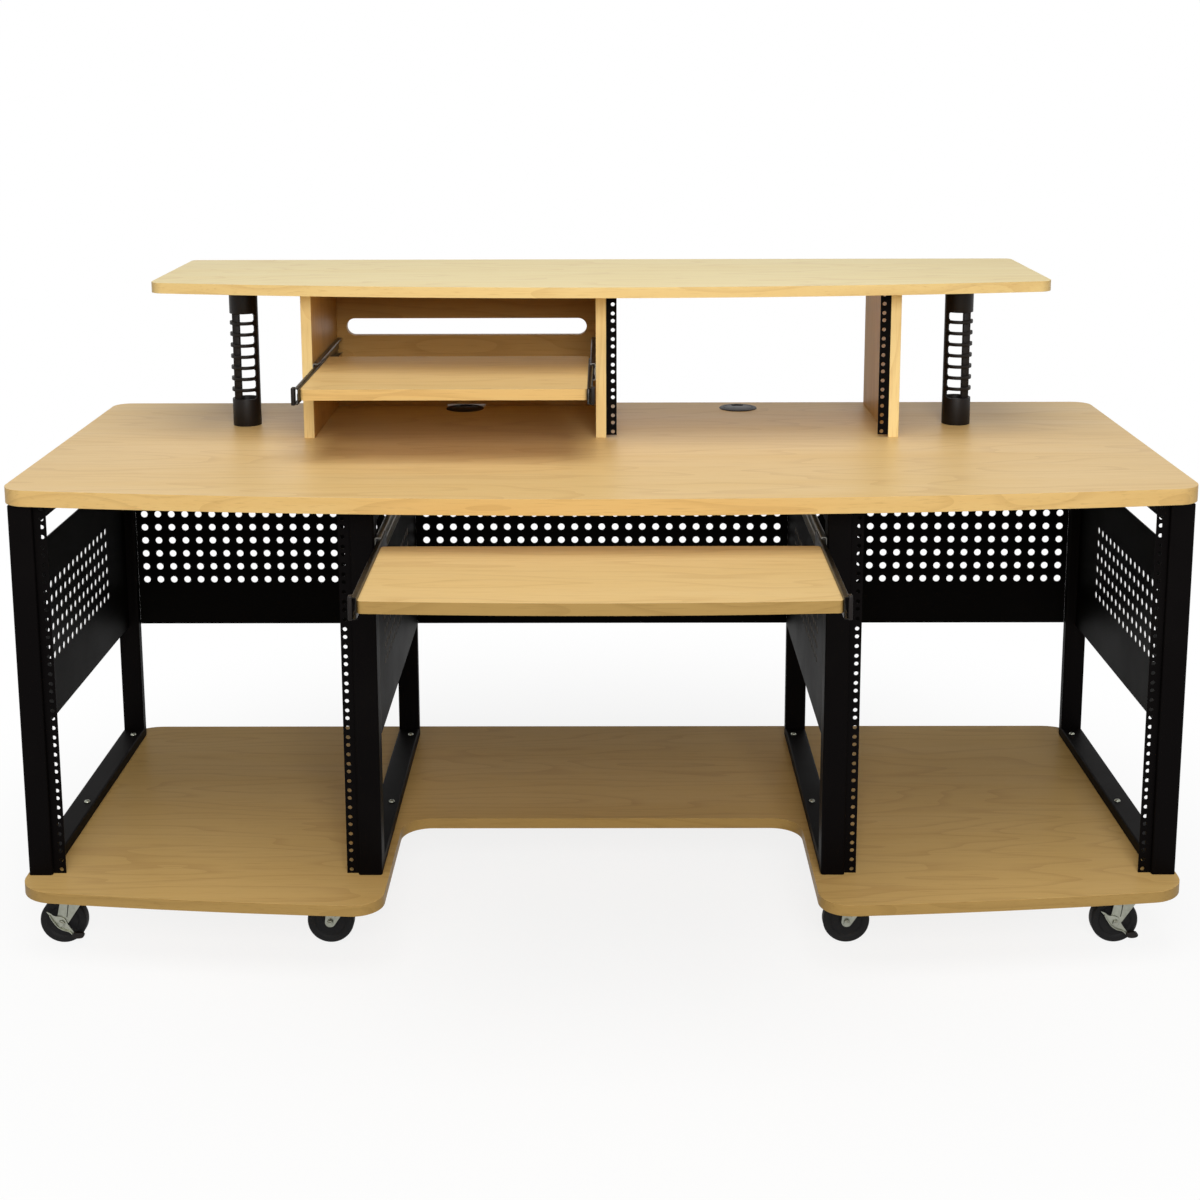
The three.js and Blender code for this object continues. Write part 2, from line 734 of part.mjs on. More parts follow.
// Slotted posts: an oval tube whose windows leave a strip towards the middle of the desk, a
// narrow spine at front and rear, and fingers that reach out past the spines.
function makePost(name, side) {
  const ring = (radiusX, radiusY) => {
    const points = [];
    for (let i = 0; i < postSides; i += 1) {
      const angle = (i + 1 / 2) * 2 * Math.PI / postSides;
      points.push(new THREE.Vector2(radiusX * Math.cos(angle), radiusY * Math.sin(angle)));
    }
    return points;
  };
  const section = new THREE.Shape(ring(postWidth / 2, postDepth / 2));
  section.holes.push(new THREE.Path(ring(postWidth / 2 - postWall, postDepth / 2 - postWall).reverse()));
  const tubeBody = raised(section, deskTopZ, shelfUnderZ - deskTopZ);
  const outerX = -postWidth / 2;
  const spineX0 = outerX + postSpineInset;
  const spineX1 = spineX0 + postSpineWidth;
  const stripX = postWidth / 2 - postStripWidth;
  const reachY = postDepth / 2 + overrun;
  const cuts = [];
  for (let i = 0; i < postWindows; i += 1) {
    const z0 = deskTopZ + postFootHeight + i * postWindowPitch;
    const z1 = z0 + postWindowHeight;
    cuts.push(block(outerX - overrun, spineX0, -reachY, reachY, z0, z1));
    cuts.push(block(spineX1, stripX, -reachY, reachY, z0, z1));
  }
  const body = cut(tubeBody, ...cuts);
  if (side > 0) {
    body.rotateZ(Math.PI);
  }
  body.translate(side * (shelfWidth / 2 - postSideInset), shelfRearY - postRearInset, 0);
  addPiece(name, body, 'blackPlastic');
}

// Cable grommets: a flanged sleeve in the worktop and a notched cap in the sleeve
function makeGrommet(label, x) {
  const sleeveRadius = grommetSleeve / 2;
  const boreRadius = sleeveRadius - grommetWall;
  const flangeTop = deskTopZ + grommetFlangeThickness;
  const flangeRadius = grommetFlange / 2;
  const sleeve = turned([
    [boreRadius, deskTopZ - grommetLength],
    [sleeveRadius, deskTopZ - grommetLength],
    [sleeveRadius, deskTopZ],
    [flangeRadius, deskTopZ],
    [flangeRadius, flangeTop],
    [boreRadius, flangeTop],
    [boreRadius, deskTopZ - grommetLength],
  ], grommetSides);
  sleeve.translate(x, grommetY, 0);
  addPiece(`grommet_${label}`, sleeve, 'blackPlastic');
  const capRadius = boreRadius - grommetGap;
  const disc = turned([[0, flangeTop - capThickness], [capRadius, flangeTop - capThickness],
    [capRadius, flangeTop], [0, flangeTop]], grommetSides);
  const notch = block(-capNotchWidth / 2, capNotchWidth / 2, capRadius - capNotchDepth, capRadius + overrun,
    flangeTop - capThickness - overrun, flangeTop + overrun);
  const cap = cut(disc, notch);
  cap.translate(x, grommetY, 0);
  addPiece(`grommet_cap_${label}`, cap, 'blackPlastic');
}

// Casters. Each is drawn about its swivel axis at X 0, Y 0 and then put in its place.
const outerCasterX = baseWidth / 2 - outerCasterInset;
const innerCasterX = footCutHalf + innerCasterInset;
const frontCasterY = baseFrontY + frontCasterInset;
const rearCasterY = baseRearY - rearCasterInset;
const casterPlaces = [
  { label: 'front_left_outer', x: -outerCasterX, y: frontCasterY, brake: true },
  { label: 'front_left_inner', x: -innerCasterX, y: frontCasterY },
  { label: 'front_right_inner', x: innerCasterX, y: frontCasterY },
  { label: 'front_right_outer', x: outerCasterX, y: frontCasterY, brake: true },
  { label: 'rear_left_outer', x: -outerCasterX, y: rearCasterY },
  { label: 'rear_left_inner', x: -innerCasterX, y: rearCasterY },
  { label: 'rear_right_inner', x: innerCasterX, y: rearCasterY },
  { label: 'rear_right_outer', x: outerCasterX, y: rearCasterY },
];
const crownTopZ = raceUnderZ - casterGap;
const crownUnderZ = crownTopZ - forkSheet;
const forkInsideY = wheelWidth / 2 + forkSideGap;
const forkOutsideY = forkInsideY + forkSheet;
const leverInsideY = forkOutsideY + casterGap;
const leverOutsideY = leverInsideY + leverThickness;

// Top plate, ball race and riveted king pin
function casterPlate() {
  const half = casterPlateSize / 2;
  const headTopZ = crownUnderZ - casterGap;
  const pin = turned([
    [0, headTopZ - kingPinHead],
    [kingPinHeadRadius, headTopZ - kingPinHead],
    [kingPinHeadRadius, headTopZ],
    [kingPinRadius, headTopZ],
    [kingPinRadius, raceUnderZ],
    [raceRadius, raceUnderZ],
    [raceRadius, plateUnderZ + casterPlateThickness / 2],
    [0, plateUnderZ + casterPlateThickness / 2],
  ], turnedSides);
  return join(block(-half, half, -half, half, plateUnderZ, baseUnderZ + plateBite), pin);
}

// Fork: a crown under the race, two tapering legs and the axle with its nuts
function casterFork() {
  const crown = turned([
    [kingPinRadius + casterGap, crownUnderZ],
    [crownRadius, crownUnderZ],
    [crownRadius, crownTopZ],
    [kingPinRadius + casterGap, crownTopZ],
    [kingPinRadius + casterGap, crownUnderZ],
  ], crownSides);
  const legWidth = Math.sqrt(crownRadius ** 2 - forkOutsideY ** 2);
  const legs = [-forkOutsideY, forkInsideY].map((y0) => {
    const leg = new THREE.Shape();
    leg.moveTo(-legWidth, crownTopZ - forkSheet / 2);
    leg.lineTo(-casterTrail - axleBossRadius, wheelRadius);
    leg.absarc(-casterTrail, wheelRadius, axleBossRadius, Math.PI, 2 * Math.PI, false);
    leg.lineTo(legWidth, crownTopZ - forkSheet / 2);
    leg.closePath();
    return alongY(leg, y0, forkSheet, forkArcSteps);
  });
  const nutInsideY = leverOutsideY + casterGap;
  const nutOutsideY = nutInsideY + axleNutThickness;
  const axle = turnedAlongY([
    [0, -nutOutsideY],
    [axleNutRadius, -nutOutsideY],
    [axleNutRadius, -nutInsideY],
    [axleRadius, -nutInsideY],
    [axleRadius, forkInsideY],
    [axleNutRadius, forkOutsideY - overrun],
    [axleNutRadius, nutOutsideY],
    [0, nutOutsideY],
  ], nutSides);
  axle.translate(-casterTrail, 0, wheelRadius);
  return join(crown, ...legs, axle);
}

// Wheel: a tread, and cheeks that rise to a hub whose ends run against the fork legs
function casterWheel() {
  const flatFactor = 1 / Math.cos(Math.PI / wheelSides);
  const tread = wheelRadius * flatFactor;
  const bore = (axleRadius + casterGap) / Math.cos(Math.PI / wheelSides);
  const hubY = forkInsideY - casterGap;
  const wheel = turnedAlongY([
    [bore, -hubY],
    [hubRadius, -hubY],
    [tread, -wheelWidth / 2],
    [tread, wheelWidth / 2],
    [hubRadius, hubY],
    [bore, hubY],
    [bore, -hubY],
  ], wheelSides);
  wheel.translate(-casterTrail, 0, wheelRadius);
  return wheel;
}

// Brake lever: a pressed plate on the axle with a wing, a pad and a foot tip turned outwards
function brakeLever() {
  const place = (reach, offset, angle) => {
    const turn = THREE.MathUtils.degToRad(angle);
    const [along, up] = [Math.cos(turn), Math.sin(turn)];
    return [reach * along - offset * up, reach * up + offset * along];
  };
  const halfWing = leverWingWidth / 2;
  const halfPad = leverPadWidth / 2;
  const bossAngle = (leverAngle + leverWingAngle) / 2;
  const outline = [
    place(leverBossRadius, 0, bossAngle),
    place(leverWingReach, -halfWing, leverWingAngle),
    place(leverWingReach, halfWing, leverWingAngle),
    place(-leverBossRadius, 0, bossAngle),
    place(leverPadReach, -halfPad, leverAngle),
    place(leverPadReach, halfPad, leverAngle),
  ];
  const plate = new THREE.Shape(outline.map(([x, z]) => new THREE.Vector2(x - casterTrail, z + wheelRadius)));
  const plateBody = alongY(plate, -leverOutsideY, leverThickness);
  const tip = [
    place(leverPadReach - leverTipWidth, -leverTipWidth / 2, leverAngle),
    place(leverTipReach, -leverTipWidth / 2, leverAngle),
    place(leverTipReach, leverTipWidth / 2, leverAngle),
    place(leverPadReach - leverTipWidth, leverTipWidth / 2, leverAngle),
  ];
  const tipShape = new THREE.Shape(tip.map(([x, z]) => new THREE.Vector2(x - casterTrail, z + wheelRadius)));
  const tipBody = alongY(tipShape, -leverInsideY - leverPedalDepth, leverPedalDepth);
  const boreRadius = (axleRadius + casterGap) / Math.cos(Math.PI / turnedSides);
  const bore = turnedAlongY([
    [0, -leverOutsideY - overrun],
    [boreRadius, -leverOutsideY - overrun],
    [boreRadius, -leverInsideY + overrun],
    [0, -leverInsideY + overrun],
  ], turnedSides);
  bore.translate(-casterTrail, 0, wheelRadius);
  return cut(join(plateBody, tipBody), bore);
}

function makeCasters() {
  const fork = casterFork();
  const wheel = casterWheel();
  const lever = brakeLever();
  for (const { label, x, y, brake } of casterPlaces) {
    addPiece(`fork_${label}`, fork.clone().translate(x, y, 0), 'zinc');
    addPiece(`wheel_${label}`, wheel.clone().translate(x, y, 0), 'rubber');
    if (brake) {
      addPiece(`brake_lever_${label}`, lever.clone().translate(x, y, 0), 'zinc');
    }
  }
}

makeDesktop();
makeBaseBoard();
makeSideFrame('side_frame_left_outer', -outerFrameX);
makeSideFrame('side_frame_left_inner', -innerFrameX);
makeSideFrame('side_frame_right_inner', innerFrameX);
makeSideFrame('side_frame_right_outer', outerFrameX);
makeLowerRails();
makePanels();
makeBridge();
makeUpperRails();
makeKeyboardTray();
makeUpperTray();
makePost('post_left', -1);
makePost('post_right', 1);
makeGrommet('left', -grommetX);
makeGrommet('right', grommetX);
makeCasters();

desk.position.y = -centreY;
const group = new THREE.Group();
group.add(desk);

export default group;
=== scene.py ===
import math

import bmesh
import bpy
from mathutils import Matrix, Vector


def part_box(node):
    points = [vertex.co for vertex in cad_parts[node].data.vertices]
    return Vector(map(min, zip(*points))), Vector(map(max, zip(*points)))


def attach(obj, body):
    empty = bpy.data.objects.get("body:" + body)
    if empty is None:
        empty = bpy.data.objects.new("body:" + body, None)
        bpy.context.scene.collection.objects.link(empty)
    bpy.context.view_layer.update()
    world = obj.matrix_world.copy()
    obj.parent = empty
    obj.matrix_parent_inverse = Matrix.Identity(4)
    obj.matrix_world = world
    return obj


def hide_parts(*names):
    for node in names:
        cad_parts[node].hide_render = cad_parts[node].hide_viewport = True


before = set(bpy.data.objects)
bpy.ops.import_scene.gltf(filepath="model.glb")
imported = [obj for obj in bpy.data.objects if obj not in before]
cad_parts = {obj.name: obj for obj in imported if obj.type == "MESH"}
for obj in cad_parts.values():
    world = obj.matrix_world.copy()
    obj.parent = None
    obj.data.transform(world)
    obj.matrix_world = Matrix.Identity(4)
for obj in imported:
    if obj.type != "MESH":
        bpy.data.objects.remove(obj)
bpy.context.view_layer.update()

# Camera and studio: a camera on a tripod a little above the shelf, looking slightly down on the
# desk, with a white sweep for a floor and soft lamps over and before the desk. Away from the
# desk the sweep glows white to the camera, so only the shadow by the casters shows on it.
MM = 0.001


def linear(hex_colour):
    """An sRGB hex colour as linear red, green, blue and alpha."""
    parts = [int(hex_colour[i:i + 2], 16) / 255 for i in (1, 3, 5)]
    return [p / 12.92 if p <= 0.04045 else ((p + 0.055) / 1.055) ** 2.4 for p in parts] + [1.0]


def add_node(tree, kind, inputs=None, **settings):
    """A node with its settings; an input is a value or the output that feeds it."""
    node = tree.nodes.new(kind)
    for name, value in settings.items():
        setattr(node, name, value)
    for socket, value in (inputs or {}).items():
        if isinstance(value, bpy.types.NodeSocket):
            tree.links.new(value, node.inputs[socket])
        else:
            node.inputs[socket].default_value = value
    return node


def new_material(name):
    """An empty material, its tree and its output node."""
    made = bpy.data.materials.new(name)
    made.use_nodes = True
    made.node_tree.nodes.clear()
    return made, made.node_tree, add_node(made.node_tree, "ShaderNodeOutputMaterial")


def calc(tree, operation, *values, **settings):
    """The result of a sum on values or sockets."""
    return add_node(tree, "ShaderNodeMath", dict(enumerate(values)), operation=operation,
                    **settings).outputs[0]


def span(tree, value, source, target, kind="LINEAR"):
    """A value moved from one range to another."""
    moved = add_node(tree, "ShaderNodeMapRange",
                     {"Value": value, "From Min": source[0], "From Max": source[1],
                      "To Min": target[0], "To Max": target[1]},
                     interpolation_type=kind)
    return moved.outputs[0]


def object_place(tree):
    """Places in the object's own coordinates."""
    return add_node(tree, "ShaderNodeTexCoord").outputs["Object"]


def ray_share(tree, *kinds):
    """1 for rays of the named kinds, 0 for all others."""
    rays = add_node(tree, "ShaderNodeLightPath").outputs
    share = rays[kinds[0]]
    for kind in kinds[1:]:
        share = calc(tree, "ADD", share, rays[kind], use_clamp=True)
    return share


camera_data = bpy.data.cameras.new("camera")
camera_data.lens = 56.24
camera_data.sensor_width = 36
camera_data.shift_x = 0.0012
camera_data.shift_y = -0.1667
camera = bpy.data.objects.new("camera", camera_data)
bpy.context.scene.collection.objects.link(camera)
camera_pitch = math.radians(90 - 10.595)
camera_turn = math.radians(0.243)
camera_roll = math.radians(-0.144)
camera_place = (0.0092, -3.0015, 1.4162)
camera.matrix_world = (Matrix.Translation(camera_place) @ Matrix.Rotation(camera_turn, 4, "Z")
                       @ Matrix.Rotation(camera_pitch, 4, "X") @ Matrix.Rotation(camera_roll, 4, "Z"))
bpy.context.scene.camera = camera
bpy.context.scene.view_settings.view_transform = "Standard"

GLOW_REACH, GLOW_SHARE = (0.5, 1.6), (0.84, 1.0)


def paper_white():
    """Matt white paper sweep. To the camera and in reflections most of it is plain white by the
    desk and all of it 1.6 m away, so that the shadow stays and the far end is white."""
    made, tree, out = new_material("paper_white")
    paper = add_node(tree, "ShaderNodeBsdfDiffuse", {"Color": linear("#f4f3f0")})
    white = add_node(tree, "ShaderNodeEmission", {"Color": (1, 1, 1, 1), "Strength": 1.0})
    away = add_node(tree, "ShaderNodeVectorMath", {0: object_place(tree)}, operation="LENGTH")
    growth = span(tree, away.outputs["Value"], GLOW_REACH, GLOW_SHARE, "SMOOTHSTEP")
    share = calc(tree, "MULTIPLY", ray_share(tree, "Is Camera Ray", "Is Glossy Ray"), growth)
    both = add_node(tree, "ShaderNodeMixShader", {0: share, 1: paper.outputs[0], 2: white.outputs[0]})
    tree.links.new(both.outputs[0], out.inputs["Surface"])
    return made


floor_mesh = bpy.data.meshes.new("floor")
floor_reach = 30.0
floor_mesh.from_pydata([(-floor_reach, -floor_reach, 0), (floor_reach, -floor_reach, 0),
                        (floor_reach, floor_reach, 0), (-floor_reach, floor_reach, 0)], [], [(0, 1, 2, 3)])
floor = bpy.data.objects.new("floor", floor_mesh)
bpy.context.scene.collection.objects.link(floor)
floor_mesh.materials.append(paper_white())

world = bpy.data.worlds.new("studio")
bpy.context.scene.world = world
world.use_nodes = True
world.node_tree.nodes.clear()
world_tree = world.node_tree
world_out = add_node(world_tree, "ShaderNodeOutputWorld")
room_light = add_node(world_tree, "ShaderNodeBackground", {"Color": (1, 1, 1, 1), "Strength": 0.06})
backdrop = add_node(world_tree, "ShaderNodeBackground", {"Color": (1, 1, 1, 1), "Strength": 1.0})
shown_share = ray_share(world_tree, "Is Camera Ray", "Is Glossy Ray", "Is Transmission Ray")
world_mix = add_node(world_tree, "ShaderNodeMixShader", {0: shown_share, 1: room_light.outputs[0],
                                                         2: backdrop.outputs[0]})
world_tree.links.new(world_mix.outputs[0], world_out.inputs["Surface"])

lamp_aim = Vector((0, 0, 0.6))
for lamp_name, lamp_place, lamp_size, lamp_watts in (("overhead_softbox", (-0.1, -1.1, 3.9), 2.8, 90),
                                                     ("front_softbox", (0.3, -4.6, 2.7), 2.0, 144)):
    lamp_data = bpy.data.lights.new(lamp_name, "AREA")
    lamp_data.size = lamp_size
    lamp_data.energy = lamp_watts
    lamp = bpy.data.objects.new(lamp_name, lamp_data)
    bpy.context.scene.collection.objects.link(lamp)
    lamp.location = lamp_place
    lamp.rotation_euler = (lamp_aim - Vector(lamp_place)).to_track_quat("-Z", "Y").to_euler()

# Base board: 18 mm particle board faced with hard-maple laminate, its edge banded in the same
# maple. A bowed front with a recess for the feet; it lies on eight casters and carries the frames.
DESK = "desk"
RIM_FOLD, LEVEL_FACE, UPRIGHT_FACE, SIDEWAYS_FACE = 1.2, 0.9, 0.7, 0.5


def to_object(name, bm, materials, smooth_degrees=35):
    """A closed mesh from bmesh as a finished object at the origin."""
    bmesh.ops.recalc_face_normals(bm, faces=bm.faces)
    mesh = bpy.data.meshes.new(name)
    bm.to_mesh(mesh)
    bm.free()
    for made in materials:
        mesh.materials.append(made)
    mesh.shade_smooth()
    mesh.set_sharp_from_angle(angle=math.radians(smooth_degrees))
    piece = bpy.data.objects.new(name, mesh)
    bpy.context.scene.collection.objects.link(piece)
    return piece


def even_shading(piece):
    """Large flat faces keep their own shading where they meet rounded edges."""
    weighted = piece.modifiers.new("even_shading", "WEIGHTED_NORMAL")
    weighted.keep_sharp = True
    return piece


def arc(x, y, radius, start, end, steps):
    """Points on an arc, both ends included."""
    return [(x + radius * math.cos(start + (end - start) * i / steps),
             y + radius * math.sin(start + (end - start) * i / steps)) for i in range(steps + 1)]


def bow_fillet(front, bow, fillet, line_x, side):
    """Centre and end angle of a corner that touches the bowed front and the line at line_x."""
    x = line_x + side * fillet
    y = front + bow - math.sqrt((bow - fillet) ** 2 - x * x)
    return x, y, math.atan2(y - front - bow, x) + 2 * math.pi


def bowed_outline(half, front, rear, bow, front_corner, rear_corner, recess=None):
    """A board's outline, anticlockwise from its rear left corner, with a bowed front."""
    turn = math.pi
    lx, ly, la = bow_fillet(front, bow, front_corner, -half, 1)
    rx, ry, ra = bow_fillet(front, bow, front_corner, half, -1)
    points = arc(lx, ly, front_corner, turn, la, 12)
    if recess:
        cut_half, cut_rear, inner, lobe = recess
        x0, y0, a0 = bow_fillet(front, bow, lobe, -cut_half, -1)
        x1, y1, a1 = bow_fillet(front, bow, lobe, cut_half, 1)
        points += arc(0, front + bow, bow, la, a0, 16)[1:]
        points += arc(x0, y0, lobe, a0, 2 * turn, 12)[1:]
        points += arc(inner - cut_half, cut_rear - inner, inner, turn, turn / 2, 12)
        points += arc(cut_half - inner, cut_rear - inner, inner, turn / 2, 0, 12)
        points += arc(x1, y1, lobe, turn, a1, 12)
        points += arc(0, front + bow, bow, a1, ra, 16)[1:]
    else:
        points += arc(0, front + bow, bow, la, ra, 48)[1:]
    points += arc(rx, ry, front_corner, ra, 2 * turn, 12)[1:]
    points += arc(half - rear_corner, rear - rear_corner, rear_corner, 0, turn / 2, 8)
    points += arc(rear_corner - half, rear - rear_corner, rear_corner, turn / 2, turn, 8)
    return points


def slab(outline, holes, low, high, rim, rim_steps=3):
    """A flat plate between two heights, from an outline and holes in X and Y, with rounded rims."""
    bm = bmesh.new()
    edges = []
    for loop in [outline, *holes]:
        verts = [bm.verts.new((x, y, low)) for x, y in loop]
        edges += [bm.edges.new((a, b)) for a, b in zip(verts, verts[1:] + verts[:1])]
    bmesh.ops.triangle_fill(bm, use_beauty=True, edges=edges)
    flat = list(bm.faces)
    raised = bmesh.ops.extrude_face_region(bm, geom=flat)
    bmesh.ops.translate(bm, vec=(0, 0, high - low),
                        verts=[g for g in raised["geom"] if isinstance(g, bmesh.types.BMVert)])
    bmesh.ops.recalc_face_normals(bm, faces=bm.faces)
    if rim > 0:
        rims = [e for e in bm.edges if len(e.link_faces) == 2 and e.calc_face_angle(0) > RIM_FOLD
                and any(abs(f.normal.z) > LEVEL_FACE for f in e.link_faces)]
        bmesh.ops.bevel(bm, geom=rims, offset=rim, segments=rim_steps, profile=0.5, affect="EDGES",
                        clamp_overlap=True)
    return bm


def mapped(tree, place, scale):
    """Places stretched along each axis."""
    return add_node(tree, "ShaderNodeMapping", {"Vector": place, "Scale": scale}).outputs[0]


def noise(tree, place, scale, detail, roughness=0.5):
    """A cloudy pattern from 0 to 1."""
    pattern = add_node(tree, "ShaderNodeTexNoise", {"Vector": place, "Scale": scale, "Detail": detail,
                                                    "Roughness": roughness})
    return pattern.outputs["Fac"]


def tinted(tree, share, first, second):
    """Two colours mixed by a share."""
    return add_node(tree, "ShaderNodeMix", {0: share, 6: first, 7: second}, data_type="RGBA").outputs[2]


def coated(made, tree, out, colour, rough, relief, inputs):
    """The material with its one coat: colour, roughness, fine relief and what else it needs."""
    height, strength, depth = relief
    bump = add_node(tree, "ShaderNodeBump", {"Height": height, "Strength": strength, "Distance": depth})
    coat = add_node(tree, "ShaderNodeBsdfPrincipled", {"Base Color": colour, "Roughness": rough,
                                                       "Normal": bump.outputs[0], **inputs})
    tree.links.new(coat.outputs[0], out.inputs["Surface"])
    return made


def grain_mapping(tree, along, shift):
    """Object coordinates with the grain direction turned to X."""
    turns = {"X": (0, 0, 0), "Y": (0, 0, math.pi / 2), "Z": (0, math.pi / 2, 0)}
    turned = add_node(tree, "ShaderNodeMapping", {"Vector": object_place(tree), "Rotation": turns[along],
                                                  "Location": shift})
    return turned.outputs[0]


def maple_laminate(name, along, light, mid, dark, shift=(0, 0, 0), level=0.2):
    """Hard-maple laminate, a printed and pressed sheet with a satin face: pale straw wood with slow
    bands, faint arched figure and short fine pore lines along the grain."""
    made, tree, out = new_material(name)
    place = grain_mapping(tree, along, shift)
    bands = noise(tree, mapped(tree, place, (0.9, 9, 9)), 1.6, 3)
    arches = noise(tree, mapped(tree, place, (1.1, 7.5, 7.5)), 1.0, 2, 0.45)
    rings = calc(tree, "FRACT", calc(tree, "MULTIPLY", arches, 15.0))
    ring_lines = span(tree, rings, (0, 0.35), (1, 0), "SMOOTHSTEP")
    pores = noise(tree, mapped(tree, place, (14, 420, 420)), 1.0, 2, 0.6)
    pore_lines = span(tree, pores, (0.56, 0.72), (0, 1))
    streaks = noise(tree, mapped(tree, place, (2.2, 90, 90)), 1.0, 3, 0.6)
    tone = tinted(tree, bands, linear(light), linear(mid))
    streaked = tinted(tree, span(tree, streaks, (0.35, 0.75), (0, 0.55)), tone, linear(mid))
    figured = tinted(tree, calc(tree, "MULTIPLY", ring_lines, 0.22), streaked, linear(dark))
    full = tinted(tree, calc(tree, "MULTIPLY", pore_lines, 0.3), figured, linear(dark))
    return coated(made, tree, out, full, span(tree, bands, (0, 1), (0.36, 0.5)), (pores, 0.05, 0.0004),
                  {"IOR": 1.5, "Specular IOR Level": level})


# Laminate faces, and the maple edge banding: warm round the worktop and upper tray, browner round
# the base and keyboard tray. The base's faces are darker and duller: painted shade from the worktop above.
maple_face = maple_laminate("maple_laminate_face", "X", "#e5c68c", "#deba7a", "#b98c50", level=0.3)
maple_base_painted_shade = maple_laminate("maple_laminate_base_painted_shade", "X", "#d0ae70", "#c7a262", "#a27942", (0.6, 0.2, 0.5),
                            0.04)
maple_upright = maple_laminate("maple_laminate_upright", "Z", "#dcb472", "#d0a45e", "#ab7c40",
                               (0.3, 0.1, 0.7), 0.06)
maple_band = maple_laminate("maple_edge_banding", "X", "#e3c182", "#d9b06b", "#ae8145", (0.11, 0.37, 0.02),
                            0.12)
maple_band_low = maple_laminate("maple_edge_banding_low", "X", "#b09056", "#a6854d", "#846636",
                                (0.31, 0.07, 0.12), 0.08)


def flat_board(name, outline, heights, rim, rim_steps, finishes, holes=()):
    """A board with rounded rims; its upright faces take the second finish, the edge banding."""
    piece = to_object(name, slab(outline, holes, *heights, rim, rim_steps), finishes)
    for face in piece.data.polygons:
        if abs(face.normal.z) < UPRIGHT_FACE:
            face.material_index = 1
    return even_shading(piece)


board_bow = 6490 * MM
base_low, base_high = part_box("base_board")
base_thickness = 18 * MM
base_corners = (60 * MM, 65 * MM)
recess_half, recess_from_rear = 339 * MM, 446 * MM
recess_corner, lobe_corner = 50 * MM, 46 * MM
base_outline = bowed_outline(base_high.x, base_low.y, base_high.y, board_bow, *base_corners,
                             (recess_half, base_high.y - recess_from_rear, recess_corner, lobe_corner))
base = flat_board("base_board_maple", base_outline, (base_high.z - base_thickness, base_high.z),
                  1.6 * MM, 3, [maple_base_painted_shade, maple_band_low])
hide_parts("base_board")
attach(base, DESK)

# Caster top plates: pressed steel, zinc plated, four slots with hexagon screws into the base
# board. The ball race is rolled to the plate and the king pin is riveted through the fork.
CASTERS = sorted(n[len("fork_"):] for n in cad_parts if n.startswith("fork_"))
CASTER_TRAIL = 21.3 * MM
CROWN_RADIUS = 25 * MM
RUNNING_GAP = 0.3 * MM
ON_AXIS = 1e-7


def zinc_plate(name, colour="#a9ab9e", spangle="#83857a"):
    """Bright zinc plate on pressed steel: a cool grey metal, slightly clouded, with fine scratches."""
    made, tree, out = new_material(name)
    place = object_place(tree)
    cloud = noise(tree, place, 160, 4, 0.6)
    scratch = noise(tree, mapped(tree, place, (900, 90, 900)), 1.0, 2)
    return coated(made, tree, out, tinted(tree, cloud, linear(colour), linear(spangle)),
                  span(tree, cloud, (0, 1), (0.26, 0.5)), (scratch, 0.08, 0.0002), {"Metallic": 1.0})


zinc = zinc_plate("bright_zinc_plate")


def lathe(profile, steps, centre, axis="Z"):
    """A turned body. The profile is a closed loop, or starts and ends on the axis, as
    (radius, height) pairs; the axis stands upright or lies along Y."""
    bm = bmesh.new()
    rings = []
    for radius, height in profile:
        if radius < ON_AXIS:
            rings.append([bm.verts.new((0, 0, height))])
        else:
            rings.append([bm.verts.new((radius * math.cos(2 * math.pi * i / steps),
                                        radius * math.sin(2 * math.pi * i / steps),
                                        height)) for i in range(steps)])
    closed = profile[0][0] > ON_AXIS
    pairs = list(zip(rings, rings[1:])) + ([(rings[-1], rings[0])] if closed else [])
    for low, high in pairs:
        for i in range(steps):
            j = (i + 1) % steps
            corners = [low[i % len(low)], low[j % len(low)], high[j % len(high)], high[i % len(high)]]
            unique = list(dict.fromkeys(corners))
            if len(unique) > 2:
                bm.faces.new(unique)
    if axis == "Y":
        bmesh.ops.rotate(bm, cent=(0, 0, 0), matrix=Matrix.Rotation(math.pi / 2, 3, "X"), verts=bm.verts)
    bmesh.ops.translate(bm, vec=centre, verts=bm.verts)
    return bm


def merge_bmeshes(*parts):
    """Several closed shells as one mesh."""
    whole = bmesh.new()
    for part in parts:
        temporary = bpy.data.meshes.new("part")
        part.to_mesh(temporary)
        part.free()
        whole.from_mesh(temporary)
        bpy.data.meshes.remove(temporary)
    return whole


def caster_axis(label):
    """The swivel axis of a caster in X and Y, from its fork's box: the crown is the right-hand end."""
    low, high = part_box("fork_" + label)
    return high.x - CROWN_RADIUS, (low.y + high.y) / 2


plate_top = base_high.z - base_thickness
plate_half = 30 * MM
plate_sheet = 2.5 * MM
plate_corner = 6 * MM
hole_reach, hole_length, hole_width = 22 * MM, 11 * MM, 6.5 * MM
race_height = 9 * MM
crown_top = plate_top - plate_sheet - race_height - RUNNING_GAP
crown_sheet = 2.5 * MM


def slot_loop(x, y, length, width, angle):
    """A round-ended slot as a loop of points, turned by an angle in degrees."""
    reach = (length - width) / 2
    loop = (arc(reach, 0, width / 2, -math.pi / 2, math.pi / 2, 6)
            + arc(-reach, 0, width / 2, math.pi / 2, 1.5 * math.pi, 6))
    c, s = math.cos(math.radians(angle)), math.sin(math.radians(angle))
    return [(x + px * c - py * s, y + px * s + py * c) for px, py in loop]


def rounded_square(x, y, half, corner, steps=5):
    """A square outline with round corners about a point."""
    points = []
    for k, (sx, sy) in enumerate(((1, 1), (-1, 1), (-1, -1), (1, -1))):
        points += arc(x + sx * (half - corner), y + sy * (half - corner), corner, k * math.pi / 2,
                      (k + 1) * math.pi / 2, steps)
    return points


